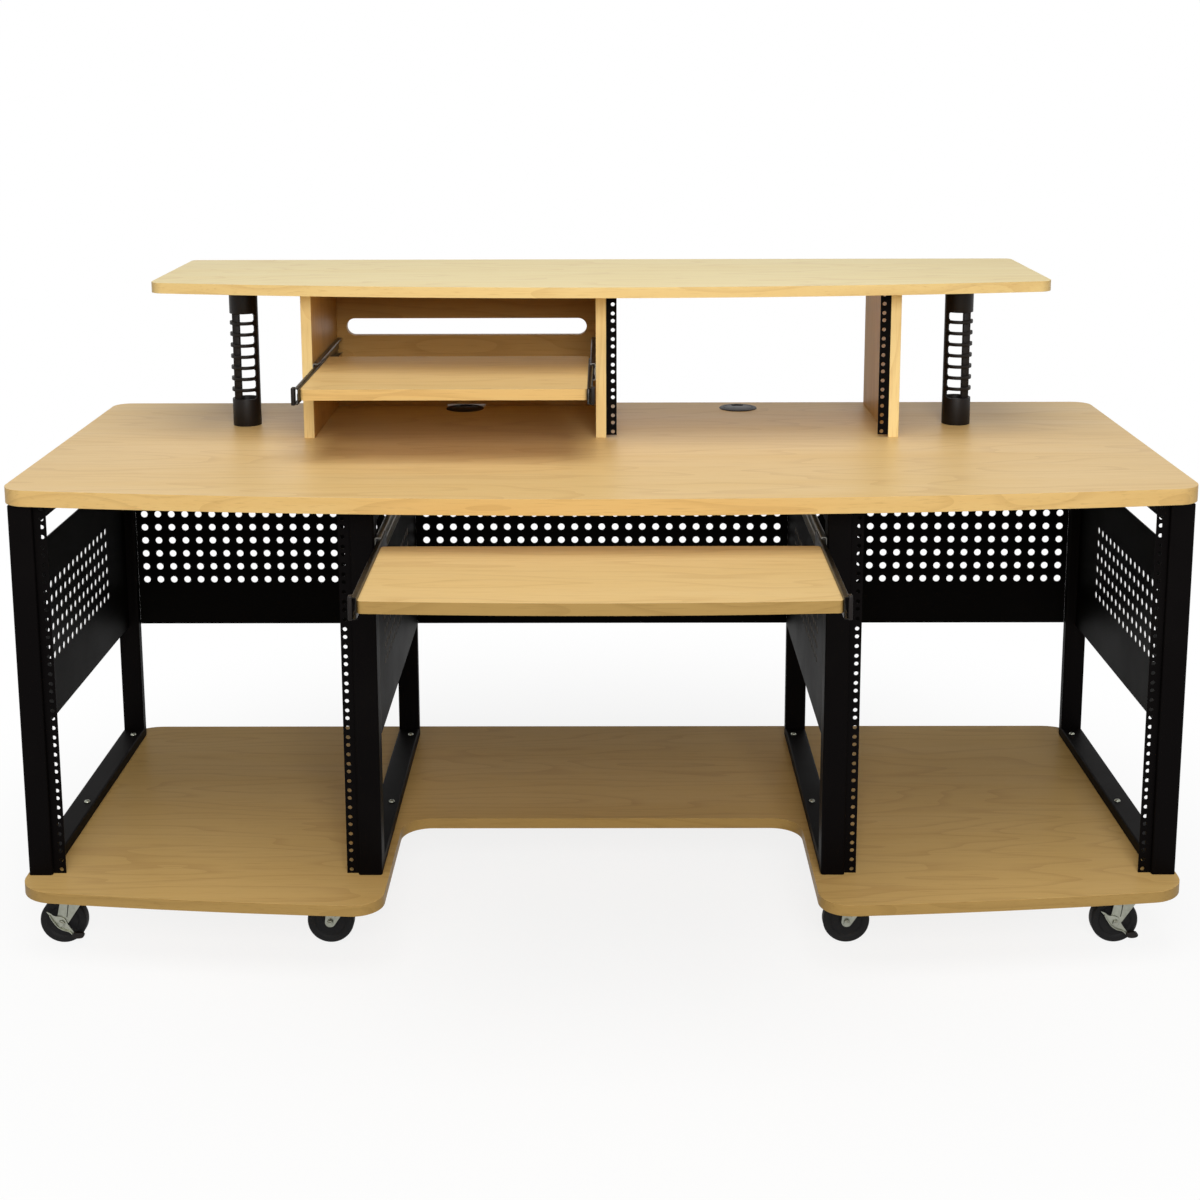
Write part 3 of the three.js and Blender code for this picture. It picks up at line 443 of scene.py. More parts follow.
plate_under = plate_top - plate_sheet
race_low = plate_under - race_height
race_profile = [(0, plate_under + 0.2 * MM), (16 * MM, plate_under + 0.2 * MM),
                (19 * MM, plate_under - 1.5 * MM), (20.6 * MM, race_low + 5 * MM),
                (20.9 * MM, race_low + 2 * MM), (20 * MM, race_low + 0.6 * MM), (18.5 * MM, race_low),
                (0, race_low)]
head_top = crown_top - crown_sheet - RUNNING_GAP
king_pin_profile = [(0, race_low + 0.5 * MM), (4.9 * MM, race_low + 0.5 * MM), (4.9 * MM, head_top),
                    (8 * MM, head_top), (8 * MM, head_top - 1.6 * MM), (6.4 * MM, head_top - 2.7 * MM),
                    (0, head_top - 3 * MM)]
plate_parts = []
screw_places = []
for label in CASTERS:
    swivel_x, swivel_y = caster_axis(label)
    slots = []
    for sx in (-1, 1):
        for sy in (-1, 1):
            x, y = swivel_x + sx * hole_reach, swivel_y + sy * hole_reach
            slots.append(slot_loop(x, y, hole_length, hole_width, 45 * sx * sy))
            screw_places.append((x, y, plate_under))
    plate_parts += [
        slab(rounded_square(swivel_x, swivel_y, plate_half, plate_corner), slots, plate_under, plate_top,
             0.5 * MM, 2),
        lathe(race_profile, 32, (swivel_x, swivel_y, 0)),
        lathe(king_pin_profile, 24, (swivel_x, swivel_y, 0))]
plates = to_object("caster_top_plates", merge_bmeshes(*plate_parts), [zinc])
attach(plates, DESK)


def hexagon(x, y, reach, turn=0):
    """Six corners round a point."""
    return [(x + reach * math.cos(math.radians(60 * i + turn)),
             y + reach * math.sin(math.radians(60 * i + turn))) for i in range(6)]


def hex_screw_mesh(across, head, washer):
    """A hexagon head on a washer, pointing down, under a plate at height 0."""
    head_outline = hexagon(0, 0, across / math.sqrt(3))
    disc = arc(0, 0, washer, 0, 2 * math.pi * 23 / 24, 23)
    return merge_bmeshes(slab(disc, [], -0.8 * MM, 0, 0.15 * MM, 1),
                         slab(head_outline, [], -0.8 * MM - head, -0.8 * MM, 0.4 * MM, 2))


def open_tree(name, sockets):
    """A Geometry Nodes tree with its named inputs; geometry goes in and comes out."""
    tree = bpy.data.node_groups.new(name, "GeometryNodeTree")
    for label, kind in (("Geometry", "Geometry"), *sockets):
        tree.interface.new_socket(label, in_out="INPUT", socket_type="NodeSocket" + kind)
    tree.interface.new_socket("Geometry", in_out="OUTPUT", socket_type="NodeSocketGeometry")
    return tree, add_node(tree, "NodeGroupInput").outputs


def end_tree(tree, geometry, *finishes):
    """Makes instances real, sets each finish on its selection and closes the tree."""
    real = add_node(tree, "GeometryNodeRealizeInstances", {0: geometry}).outputs[0]
    for finish, selection in finishes:
        real = add_node(tree, "GeometryNodeSetMaterial", {"Geometry": real, "Selection": selection,
                                                          "Material": finish}).outputs[0]
    tree.links.new(real, add_node(tree, "NodeGroupOutput").inputs[0])
    return tree


def repeat_tree():
    """Geometry Nodes: one solid set on every vertex of a mesh, as screws are."""
    tree, source = open_tree("part_on_points", (("Part", "Object"), ("Finish", "Material")))
    part = add_node(tree, "GeometryNodeObjectInfo", {"Object": source["Part"]})
    spread = add_node(tree, "GeometryNodeInstanceOnPoints", {"Points": source["Geometry"],
                                                             "Instance": part.outputs["Geometry"]})
    return end_tree(tree, spread.outputs[0], (source["Finish"], True))


def run_tree(name, tree, inputs, points=(), smooth_degrees=35):
    """Evaluates a node tree on a mesh of points and returns the result as a plain object."""
    seed_mesh = bpy.data.meshes.new(name + "_points")
    seed_mesh.from_pydata([tuple(p) for p in points] or [(0, 0, 0)], [], [])
    holder = bpy.data.objects.new(name + "_points", seed_mesh)
    bpy.context.scene.collection.objects.link(holder)
    modifier = holder.modifiers.new("repeat", "NODES")
    modifier.node_group = tree
    identifiers = {item.name: item.identifier for item in tree.interface.items_tree
                   if item.item_type == "SOCKET" and item.in_out == "INPUT"}
    for label, value in inputs.items():
        modifier[identifiers[label]] = value
    bpy.context.view_layer.update()
    shown = holder.evaluated_get(bpy.context.evaluated_depsgraph_get())
    mesh = bpy.data.meshes.new_from_object(shown)
    mesh.name = name
    holder.modifiers.remove(modifier)
    bpy.data.objects.remove(holder)
    bpy.data.meshes.remove(seed_mesh)
    mesh.shade_smooth()
    mesh.set_sharp_from_angle(angle=math.radians(smooth_degrees))
    piece = bpy.data.objects.new(name, mesh)
    bpy.context.scene.collection.objects.link(piece)
    return piece


on_points = repeat_tree()


def place_parts(name, part_bm, places, finish, body):
    """Copies of a small part at the given places, as one piece on one body."""
    part = to_object(name + "_master", part_bm, [finish])
    piece = run_tree(name, on_points, {"Part": part, "Finish": finish}, places)
    bpy.data.objects.remove(part)
    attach(piece, body)
    return piece


place_parts("caster_plate_screws", hex_screw_mesh(8 * MM, 4 * MM, 6 * MM), screw_places, zinc, DESK)

# Caster forks: 2.5 mm steel, blanked and pressed, then zinc plated. The crown turns under the
# ball race; the two legs taper to the axle, a bolt with a nut at each end, which trails the crown.
axle_height = 37.5 * MM
leg_inside = 12.6 * MM
leg_sheet = 2.5 * MM
lever_sheet = 2 * MM
lever_outside = leg_inside + leg_sheet + RUNNING_GAP + lever_sheet
boss_radius = 8.4 * MM
nut_reach, nut_height, nut_turn = 5.8 * MM, 3.2 * MM, 12


def upright_slab(outline, y0, y1, rim, rim_steps=2, holes=()):
    """A plate drawn in X and Z between two depths in Y."""
    bm = slab(outline, holes, -y1, -y0, rim, rim_steps)
    bmesh.ops.rotate(bm, cent=(0, 0, 0), matrix=Matrix.Rotation(math.pi / 2, 3, "X"), verts=bm.verts)
    return bm


def smooth_loop(points, steps=4):
    """A closed curve through a few points, as a finer loop of points."""
    loop = []
    count = len(points)
    for k in range(count):
        a, b, c, d = (points[(k + i) % count] for i in (-1, 0, 1, 2))
        for s in range(steps):
            t = s / steps
            loop.append(tuple(0.5 * (2 * q + (r - p) * t + (2 * p - 5 * q + 4 * r - u) * t * t
                                     + (3 * q - p - 3 * r + u) * t ** 3) for p, q, r, u in zip(a, b, c, d)))
    return loop


def fork_mesh(x, y):
    """The crown, two slit legs, the axle bolt and its nuts; the front nut leaves room for a lever."""
    crown = lathe([(5.3 * MM, crown_top - crown_sheet), (22 * MM, crown_top - crown_sheet),
                   (24.4 * MM, crown_top - crown_sheet - 1.2 * MM),
                   (CROWN_RADIUS, crown_top - crown_sheet + 0.6 * MM),
                   (24 * MM, crown_top - 0.4 * MM), (22.6 * MM, crown_top), (5.3 * MM, crown_top)], 32,
                  (x, y, 0))
    parts = [crown]
    axle_x = x - CASTER_TRAIL
    top = crown_top - 0.6 * MM
    rise = top - axle_height
    boss = arc(axle_x, axle_height, boss_radius, math.pi, 2 * math.pi - 0.5, 14)
    outline = ([(axle_x + 2 * MM, top), (axle_x - 1 * MM, axle_height + 0.8 * rise),
                (axle_x - 7 * MM, axle_height + 0.24 * rise)]
               + boss + [(axle_x + 13.5 * MM, axle_height + 5 * MM),
                         (axle_x + 38 * MM, axle_height + 0.8 * rise), (axle_x + 40 * MM, top)])
    slit = [(axle_x + 7.2 * MM, axle_height + 9 * MM), (axle_x + 8.4 * MM, axle_height + 9 * MM),
            (axle_x + 13.2 * MM, axle_height + 0.8 * rise), (axle_x + 11.6 * MM, axle_height + 0.8 * rise)]
    for y0 in (-leg_inside - leg_sheet, leg_inside):
        leg = upright_slab(outline, y0, y0 + leg_sheet, 0.5 * MM, 2, [slit])
        bmesh.ops.translate(leg, vec=(0, y, 0), verts=leg.verts)
        parts.append(leg)
    nut_in = lever_outside + RUNNING_GAP
    nut_outline = hexagon(axle_x, axle_height, nut_reach, nut_turn)
    for low, high in ((-nut_in - nut_height, -nut_in), (leg_inside + leg_sheet, nut_in + nut_height)):
        nut = upright_slab(nut_outline, low, high, 0.6 * MM)
        bmesh.ops.translate(nut, vec=(0, y, 0), verts=nut.verts)
        parts.append(nut)
    parts.append(lathe([(0, -nut_in - 4.4 * MM), (3.2 * MM, -nut_in - 4.4 * MM),
                        (3.9 * MM, -nut_in - 3.6 * MM), (3.9 * MM, nut_in + 3.6 * MM),
                        (3.2 * MM, nut_in + 4.4 * MM), (0, nut_in + 4.4 * MM)], 20,
                       (axle_x, y, axle_height), "Y"))
    return merge_bmeshes(*parts)


for label in CASTERS:
    fork_piece = to_object("stamped_fork_" + label, fork_mesh(*caster_axis(label)), [zinc])
    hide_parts("fork_" + label)
    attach(fork_piece, "caster_" + label)

# Caster wheels: solid black rubber treads moulded on hard cores, 75 mm across, with dished
# cheeks and a plain bore on the axle.


def wheel_rubber():
    """Matt moulded rubber: nearly black, slightly dusty, softly grained."""
    made, tree, out = new_material("moulded_wheel_rubber")
    dust = noise(tree, object_place(tree), 70, 5, 0.65)
    tint = tinted(tree, span(tree, dust, (0.45, 0.8), (0, 1)), linear("#0b0b0c"), linear("#1b1a1a"))
    return coated(made, tree, out, tint, span(tree, dust, (0, 1), (0.5, 0.8)), (dust, 0.15, 0.0004),
                  {"Specular IOR Level": 0.2})


rubber = wheel_rubber()


def wheel_mesh(x, y):
    """A tread with dished cheeks and a hub, turned about the axle."""
    half = 11 * MM
    radius = axle_height
    hub = leg_inside - RUNNING_GAP
    side = [(4.3 * MM, -hub), (10.5 * MM, -hub), (11 * MM, -hub + 0.6 * MM), (11.5 * MM, -half + 1.6 * MM),
            (14 * MM, -half + 2.6 * MM), (24 * MM, -half + 2.4 * MM), (26.5 * MM, -half + 0.4 * MM),
            (29 * MM, -half), (33.5 * MM, -half), (35.6 * MM, -half + 0.7 * MM),
            (36.9 * MM, -half + 2.2 * MM), (radius, -half + 4.5 * MM)]
    profile = side + [(r, -h) for r, h in reversed(side)]
    return lathe(profile, 64, (x - CASTER_TRAIL, y, axle_height), "Y")


for label in CASTERS:
    wheel = to_object("rubber_wheel_" + label, wheel_mesh(*caster_axis(label)), [rubber])
    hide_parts("wheel_" + label)
    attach(wheel, "roller_" + label)

# Brake levers: zinc-plated leaves on the axles of the two outer front casters, curved like an S,
# with a folded lower edge and a black dipped foot tip. The upper end presses on the tread.
LEVER_UPPER = ((-24.5, 19), (-18.5, 17), (-11.5, 12), (-3, 11.2), (5, 7), (9, -1.5), (13.5, -8.5),
               (20.5, -18.5))
LEVER_LOWER = ((17.5, -20.5), (10.5, -14.2), (1, -11.4), (-7.5, -5.5), (-14.5, 4), (-19, 12.5))
LEVER_TIP = ((16.5, -17.5), (20, -15.2), (28, -14.6), (33.5, -15.8), (35.5, -19.5), (33, -23), (25, -24.4),
             (18, -22.6))
FOLD_WIDTH = 0.9
fold_reach, fold_overlap = 2.6 * MM, 0.4 * MM
tip_reach, tip_overlap = 5 * MM, 1.9 * MM


def by_axle(x, points, shift=0.0):
    """Points given in millimetres from a caster's axle, as places in X and Z."""
    return [(x - CASTER_TRAIL + (px + shift) * MM, axle_height + (pz + shift) * MM) for px, pz in points]


def lever_mesh(x, y):
    """A pressed leaf beside the fork's front leg, with its lower edge folded outward."""
    low_y = -lever_outside
    leaf = smooth_loop(by_axle(x, LEVER_UPPER + LEVER_LOWER))
    plate = upright_slab(leaf, low_y, low_y + lever_sheet, 0.5 * MM)
    fold = smooth_loop(by_axle(x, LEVER_LOWER) + by_axle(x, LEVER_LOWER, FOLD_WIDTH)[::-1])
    lip = upright_slab(fold, low_y - fold_reach, low_y + fold_overlap, 0.2 * MM, 1)
    whole = merge_bmeshes(plate, lip)
    bmesh.ops.translate(whole, vec=(0, y, 0), verts=whole.verts)
    return whole


def lever_tip_mesh(x, y):
    """The dipped tip that a foot pushes, thicker than the leaf."""
    low_y = -lever_outside
    outline = smooth_loop(by_axle(x, LEVER_TIP))
    tip = upright_slab(outline, low_y - tip_reach, low_y + tip_overlap, 1.2 * MM, 3)
    bmesh.ops.translate(tip, vec=(0, y, 0), verts=tip.verts)
    return tip


def moulded_plastic(name, base, highlight):
    """Injection-moulded plastic, matt from a spark-textured mould; its grain is drawn at 0.8 mm."""
    made, tree, out = new_material(name)
    place = object_place(tree)
    grain = noise(tree, place, 1 / (0.8 * MM), 2)
    cloud = noise(tree, place, 25, 3)
    return coated(made, tree, out, tinted(tree, cloud, linear(base), linear(highlight)),
                  span(tree, cloud, (0, 1), (0.38, 0.55)), (grain, 0.12, 0.0003),
                  {"IOR": 1.5, "Specular IOR Level": 0.2})


black_plastic = moulded_plastic("black_moulded_plastic", "#120e0c", "#1b1512")
for lever_node in sorted(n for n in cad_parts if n.startswith("brake_lever_")):
    label = lever_node[len("brake_lever_"):]
    lever = to_object("pressed_lever_" + label, lever_mesh(*caster_axis(label)), [zinc])
    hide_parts(lever_node)
    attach(lever, "brake_" + label)
    tip = to_object("lever_tip_" + label, lever_tip_mesh(*caster_axis(label)), [black_plastic])
    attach(tip, "brake_" + label)

# Side frames: four loops of 38 mm square steel tube with flat 38 by 19 mm tube at the foot and at
# the rear, mitred and welded, powder coated black. They stand on the base and carry the worktop.


def powder_coat(name, base="#080606", worn="#0f0d0c", level=0.03):
    """Black powder coat on steel: a satin skin with a fine pebbled texture, drawn at about 1.2 mm,
    and slightly greyer where hands and knees have rubbed it."""
    made, tree, out = new_material(name)
    place = object_place(tree)
    pebble = noise(tree, place, 850, 2)
    rubbed = noise(tree, place, 6, 4, 0.6)
    tint = tinted(tree, span(tree, rubbed, (0.45, 0.75), (0, 0.55)), linear(base), linear(worn))
    return coated(made, tree, out, tint, span(tree, rubbed, (0, 1), (0.42, 0.6)), (pebble, 0.18, 0.0004),
                  {"IOR": 1.5, "Specular IOR Level": level})


powder = powder_coat("black_powder_coat")
tube_width = 38 * MM
flat_tube = 19 * MM
tube_corner = 3.5 * MM


def tube_loop(low, high):
    """A rectangular loop of round-cornered tube in the YZ plane, mitred where the tubes meet."""
    bm = bmesh.new()
    mid_x = (low.x + high.x) / 2
    half = tube_width / 2
    section = rounded_square(0, 0, half, tube_corner, 4)
    outer = [(low.y, low.z), (high.y, low.z), (high.y, high.z), (low.y, high.z)]
    inner = [(low.y + tube_width, low.z + flat_tube), (high.y - flat_tube, low.z + flat_tube),
             (high.y - flat_tube, high.z - tube_width), (low.y + tube_width, high.z - tube_width)]
    rings = []
    for (y0, z0), (y1, z1) in zip(outer, inner):
        depths = [(half - across) / tube_width for _, across in section]
        rings.append([bm.verts.new((mid_x + side, y0 + (y1 - y0) * deep, z0 + (z1 - z0) * deep))
                      for (side, _), deep in zip(section, depths)])
    count = len(section)
    for k in range(len(rings)):
        here, there = rings[k], rings[(k + 1) % len(rings)]
        for i in range(count):
            j = (i + 1) % count
            bm.faces.new((here[i], here[j], there[j], there[i]))
    return bm


foot_screw_depths, foot_screw_shift = (55 * MM, 377 * MM), 6 * MM
foot_screw_places = []
for node in sorted(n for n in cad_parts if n.startswith("side_frame_")):
    low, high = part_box(node)
    loop = to_object("welded_" + node, tube_loop(low, high), [powder], 30)
    even_shading(loop)
    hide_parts(node)
    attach(loop, DESK)
    screw_x = (low.x + high.x) / 2 + (foot_screw_shift if low.x < 0 else -foot_screw_shift)
    foot_screw_places += [(screw_x, screw_y, low.z + flat_tube) for screw_y in foot_screw_depths]

# Foot rail screws: zinc-plated steel with round heads and a hexagonal recess. Two go through the
# flat tube at the foot of each frame into the base board.


def pan_head_mesh(radius, height):
    """A round screw head with a hexagonal recess, standing on height 0."""
    return lathe([(0, height * 0.45), (radius * 0.34, height * 0.45), (radius * 0.36, height * 0.98),
                  (radius * 0.62, height * 0.92), (radius * 0.88, height * 0.62), (radius, height * 0.12),
                  (radius * 0.97, 0), (0, 0)], 24, (0, 0, 0))


place_parts("foot_rail_screws", pan_head_mesh(5.2 * MM, 3 * MM), foot_screw_places, zinc, DESK)

# Perforated panels: 1.6 mm steel sheet punched with 12.7 mm holes about 25 mm apart, powder
# coated with the frames. Side panels stand inside the frames, back panels behind the bays.


def punched_sheet(tree, source, centres, turn):
    """An upright sheet with a round hole at each centre, given its thickness, turned and placed,
    and the selection of its cut edges."""
    outline = add_node(tree, "GeometryNodeCurvePrimitiveQuadrilateral", {"Width": source["Width"],
                                                                         "Height": source["Height"]})
    circle = add_node(tree, "GeometryNodeCurvePrimitiveCircle",
                      {"Resolution": 20, "Radius": source["Hole Radius"]})
    circles = add_node(tree, "GeometryNodeInstanceOnPoints",
                       {"Points": centres, "Instance": circle.outputs[0]})
    real = add_node(tree, "GeometryNodeRealizeInstances", {0: circles.outputs[0]})
    curves = add_node(tree, "GeometryNodeJoinGeometry")
    tree.links.new(outline.outputs[0], curves.inputs[0])
    tree.links.new(real.outputs[0], curves.inputs[0])
    filled = add_node(tree, "GeometryNodeFillCurve", {0: curves.outputs[0]})
    lift = add_node(tree, "ShaderNodeCombineXYZ", {"Z": source["Thickness"]})
    thick = add_node(tree, "GeometryNodeExtrudeMesh", {"Mesh": filled.outputs[0], "Offset": lift.outputs[0],
                                                       "Offset Scale": 1.0, "Individual": False})
    under = add_node(tree, "GeometryNodeFlipFaces", {0: filled.outputs[0]})
    shell = add_node(tree, "GeometryNodeJoinGeometry")
    tree.links.new(thick.outputs[0], shell.inputs[0])
    tree.links.new(under.outputs[0], shell.inputs[0])
    welded = add_node(tree, "GeometryNodeMergeByDistance", {"Geometry": shell.outputs[0], "Distance": 1e-6})
    placed = add_node(tree, "GeometryNodeTransform", {"Geometry": welded.outputs[0], "Rotation": turn,
                                                      "Translation": source["Place"]})
    return placed.outputs[0], thick.outputs["Side"]


SHEET_SOCKETS = (("Width", "Float"), ("Height", "Float"), ("Thickness", "Float"), ("Hole Radius", "Float"),
                 ("Place", "Vector"), ("Finish", "Material"))


def perforated_tree():
    """Geometry Nodes: a sheet with a field of round holes; its cut edges have their own finish, here a pale
    grey that is a painted highlight.
    """
    tree, source = open_tree("perforated_sheet", (
        *SHEET_SOCKETS, ("Columns", "Int"), ("Rows", "Int"), ("Column Pitch", "Float"),
        ("Row Pitch", "Float"), ("Field Shift", "Vector"), ("Turn", "Vector"),
        ("Edge Highlight Finish", "Material")))
    across, upward = (calc(tree, "MULTIPLY", calc(tree, "SUBTRACT", source[count], 1.0), source[step])
                      for count, step in (("Columns", "Column Pitch"), ("Rows", "Row Pitch")))
    grid = add_node(tree, "GeometryNodeMeshGrid", {"Size X": across, "Size Y": upward,
                                                   "Vertices X": source["Columns"],
                                                   "Vertices Y": source["Rows"]})
    shifted = add_node(tree, "GeometryNodeTransform", {"Geometry": grid.outputs[0],
                                                       "Translation": source["Field Shift"]})
    sheet, edges = punched_sheet(tree, source, shifted.outputs[0], source["Turn"])
    return end_tree(tree, sheet, (source["Finish"], True), (source["Edge Highlight Finish"], edges))


perforated = perforated_tree()
punch_radius, rows_of_holes = 6.35 * MM, 6
side_field = (25.75 * MM, 24 * MM, (-28 * MM, 8.5 * MM, 0), (math.pi / 2, 0, math.pi / 2))
back_field = (25.4 * MM, 25.4 * MM, (0, 0.5 * MM, 0), (math.pi / 2, 0, 0))
powder_sheet = powder_coat("black_powder_coat_sheet", "#070605", "#0d0b0a", 0.02)
# The cut walls of the holes are pale grey, a painted highlight of the lit hole walls; they are as black as
# the sheet.
punched_edge_painted_highlight = powder_coat("powder_coat_punched_edges_painted_highlight", "#4a4744", "#6b6762", 0.4)
for node in sorted(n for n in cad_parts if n.startswith(("back_panel", "side_panel"))):
    low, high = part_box(node)
    middle = (low + high) / 2
    if node.startswith("side_panel"):
        width, thickness, columns = high.y - low.y, high.x - low.x, 15
        column_pitch, row_pitch, shift, turn = side_field
        place = (low.x, middle.y, middle.z)
    else:
        width, thickness, columns = high.x - low.x, high.y - low.y, 27 if "centre" in node else 19
        column_pitch, row_pitch, shift, turn = back_field
        place = (middle.x, high.y, middle.z)
    panel = run_tree("perforated_" + node, perforated,
                     {"Width": width, "Height": high.z - low.z, "Thickness": thickness,
                      "Columns": columns, "Rows": rows_of_holes, "Column Pitch": column_pitch,
                      "Row Pitch": row_pitch, "Hole Radius": punch_radius, "Field Shift": shift,
                      "Place": place, "Turn": turn, "Finish": powder_sheet, "Edge Highlight Finish": punched_edge_painted_highlight})
    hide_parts(node)
    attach(panel, DESK)

# Rack rails: 2 mm steel angles punched with the standard rack pattern, three threaded holes in
# each 44.45 mm unit, powder coated and screwed to the frames and to the bridge dividers.
RACK_UNIT = 44.45 * MM
HOLES_IN_UNIT = 3.0
FIRST_HOLE = 6.35 * MM
HOLE_STEP = 15.875 * MM


def rack_flange_tree():
    """Geometry Nodes: an upright strip with the rack standard's row of holes."""
    tree, source = open_tree("rack_flange", (*SHEET_SOCKETS, ("Holes", "Int"), ("First Hole", "Int"),
                                             ("Hole X", "Float"), ("Grid Foot", "Float")))
    line = add_node(tree, "GeometryNodeMeshLine", {"Count": source["Holes"]})
    index = add_node(tree, "GeometryNodeInputIndex")
    number = calc(tree, "ADD", index.outputs[0], source["First Hole"])
    unit = calc(tree, "FLOOR", calc(tree, "DIVIDE", number, HOLES_IN_UNIT))
    in_unit = calc(tree, "MULTIPLY_ADD", calc(tree, "MODULO", number, HOLES_IN_UNIT), HOLE_STEP, FIRST_HOLE)
    height = calc(tree, "ADD", calc(tree, "ADD", calc(tree, "MULTIPLY", unit, RACK_UNIT), in_unit),
                  source["Grid Foot"])
    spot = add_node(tree, "ShaderNodeCombineXYZ", {"X": source["Hole X"], "Y": height})
    spread = add_node(tree, "GeometryNodeSetPosition",
                      {"Geometry": line.outputs[0], "Position": spot.outputs[0]})
    strip, _ = punched_sheet(tree, source, spread.outputs[0], (math.pi / 2, 0, 0))
    return end_tree(tree, strip, (source["Finish"], True))


rack_flange = rack_flange_tree()
rail_sheet = 2 * MM
rack_hole_radius = 3.4 * MM
rails = {"rack_rail_left_outer": (-1, 11.95), "rack_rail_left_inner": (1, 12.05),
         "rack_rail_right_inner": (-1, 12.05), "rack_rail_right_outer": (1, 11.95),
         "bridge_rail_left": (-1, 11.45), "bridge_rail_right": (1, 11.45)}
for node, (wall_side, inset) in rails.items():
    low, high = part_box(node)
    holes, first, grid_drop = (41, 0, 0) if node.startswith("rack_rail") else (17, 1, 16.35 * MM)
    wall_x = low.x if wall_side < 0 else high.x
    hole_x = wall_x - wall_side * inset * MM
    middle = (low + high) / 2
    flange = run_tree("punched_" + node, rack_flange,
                      {"Width": high.x - low.x, "Height": high.z - low.z, "Thickness": rail_sheet,
                       "Holes": holes, "First Hole": first, "Hole Radius": rack_hole_radius,
                       "Hole X": hole_x - middle.x, "Grid Foot": low.z - grid_drop - middle.z,
                       "Place": (middle.x, low.y + rail_sheet, middle.z), "Finish": powder})
    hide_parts(node)
    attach(flange, DESK)
    web_x = sorted((wall_x, wall_x - wall_side * rail_sheet))
    web_outline = [(web_x[0], low.y + rail_sheet), (web_x[1], low.y + rail_sheet), (web_x[1], high.y),
                   (web_x[0], high.y)]
    web = to_object("web_" + node, slab(web_outline, [], low.z, high.z, 0.4 * MM, 1), [powder])
    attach(web, DESK)

# Worktop: 25.4 mm board with laminate faces, the same maple banding round its bowed edge, and a
# hole for each cable grommet. It is screwed down to the top rails of the frames.
desk_low, desk_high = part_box("desktop")
desk_corners = (45 * MM, 30 * MM)
desk_outline = bowed_outline(desk_high.x, desk_low.y, desk_high.y, board_bow, *desk_corners)
grommet_hole = 30.4 * MM
grommet_holes = []
for node in ("grommet_left", "grommet_right"):
    low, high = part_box(node)
    grommet_holes.append(arc((low.x + high.x) / 2, (low.y + high.y) / 2, grommet_hole, 0,
                             2 * math.pi * 39 / 40, 39))
worktop = flat_board("worktop_maple", desk_outline, (desk_low.z, desk_high.z), 2.2 * MM, 4,
                     [maple_face, maple_band], grommet_holes)
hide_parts("desktop")
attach(worktop, DESK)

# Cable grommets: black moulded sleeves pressed into the worktop, each with a flush notched cap.
cap_radius, notch_half, notch_depth, notch_round = 26.6 * MM, 11 * MM, 14 * MM, 5 * MM
for node in ("grommet_left", "grommet_right"):
    low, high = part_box(node)
    centre = ((low.x + high.x) / 2, (low.y + high.y) / 2, 0)
    rim_radius = (high.x - low.x) / 2
    top = high.z
    sleeve = to_object("moulded_" + node, lathe(
        [(27 * MM, low.z), (29.4 * MM, low.z), (30 * MM, low.z + 0.8 * MM), (30 * MM, desk_high.z),
         (rim_radius, desk_high.z), (rim_radius, desk_high.z + 0.7 * MM),
         (rim_radius - 1 * MM, top - 0.3 * MM), (rim_radius - 2.4 * MM, top), (28 * MM, top),
         (27 * MM, top - 0.8 * MM)], 64, centre), [black_plastic])
    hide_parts(node)
    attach(sleeve, DESK)
    start = math.asin(notch_half / cap_radius)
    cap_outline = arc(0, 0, cap_radius, math.pi / 2 + start, math.pi / 2 - start + 2 * math.pi, 56)
    floor_y = cap_radius - notch_depth
    cap_outline += arc(notch_half - notch_round, floor_y + notch_round, notch_round, 0, -math.pi / 2, 6)
    cap_outline += arc(notch_round - notch_half, floor_y + notch_round, notch_round, -math.pi / 2, -math.pi,
                       6)
    cap_outline = [(centre[0] + x, centre[1] + y) for x, y in cap_outline]
    cap_node = node.replace("grommet", "grommet_cap")
    cap_low, cap_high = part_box(cap_node)
    cap = to_object("moulded_" + cap_node, slab(cap_outline, [], cap_low.z, cap_high.z, 0.6 * MM),
                    [black_plastic])
    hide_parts(cap_node)
    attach(cap, DESK)

# Bridge: 18 mm laminated boards. Three dividers stand on the worktop with their banded edges to
# the front, a slotted board closes the back of the left bay, and the long shelf lies on top.


def rounded_block(low, high, rim):
    """A block between two corners with rounded edges."""
    bm = bmesh.new()
    bmesh.ops.create_cube(bm, size=1)
    bmesh.ops.scale(bm, vec=high - low, verts=bm.verts)
    bmesh.ops.translate(bm, vec=(low + high) / 2, verts=bm.verts)
    bmesh.ops.bevel(bm, geom=bm.edges[:], offset=rim, segments=3, profile=0.5, affect="EDGES")
    return bm


def standing_board(name, low, high, rim):
    """A board that stands on edge: its banding is on the front and rear, the laminate on its faces."""
    piece = to_object(name, rounded_block(low, high, rim), [maple_upright, maple_band_upright_painted_light])
    for face in piece.data.polygons:
        if abs(face.normal.y) > SIDEWAYS_FACE:
            face.material_index = 1
    return even_shading(piece)


# The dividers' edge banding is a paler copy of the worktop's banding: painted light on their front edges.
maple_band_upright_painted_light = maple_laminate("maple_edge_banding_upright_painted_light", "Z", "#fbe2a4", "#f4d592", "#d4a865",
                                    (0.5, 0.2, 0.4))
for node in ("divider_left", "divider_centre", "divider_right"):
    divider = standing_board("banded_" + node, *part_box(node), 0.8 * MM)
    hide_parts(node)
    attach(divider, DESK)
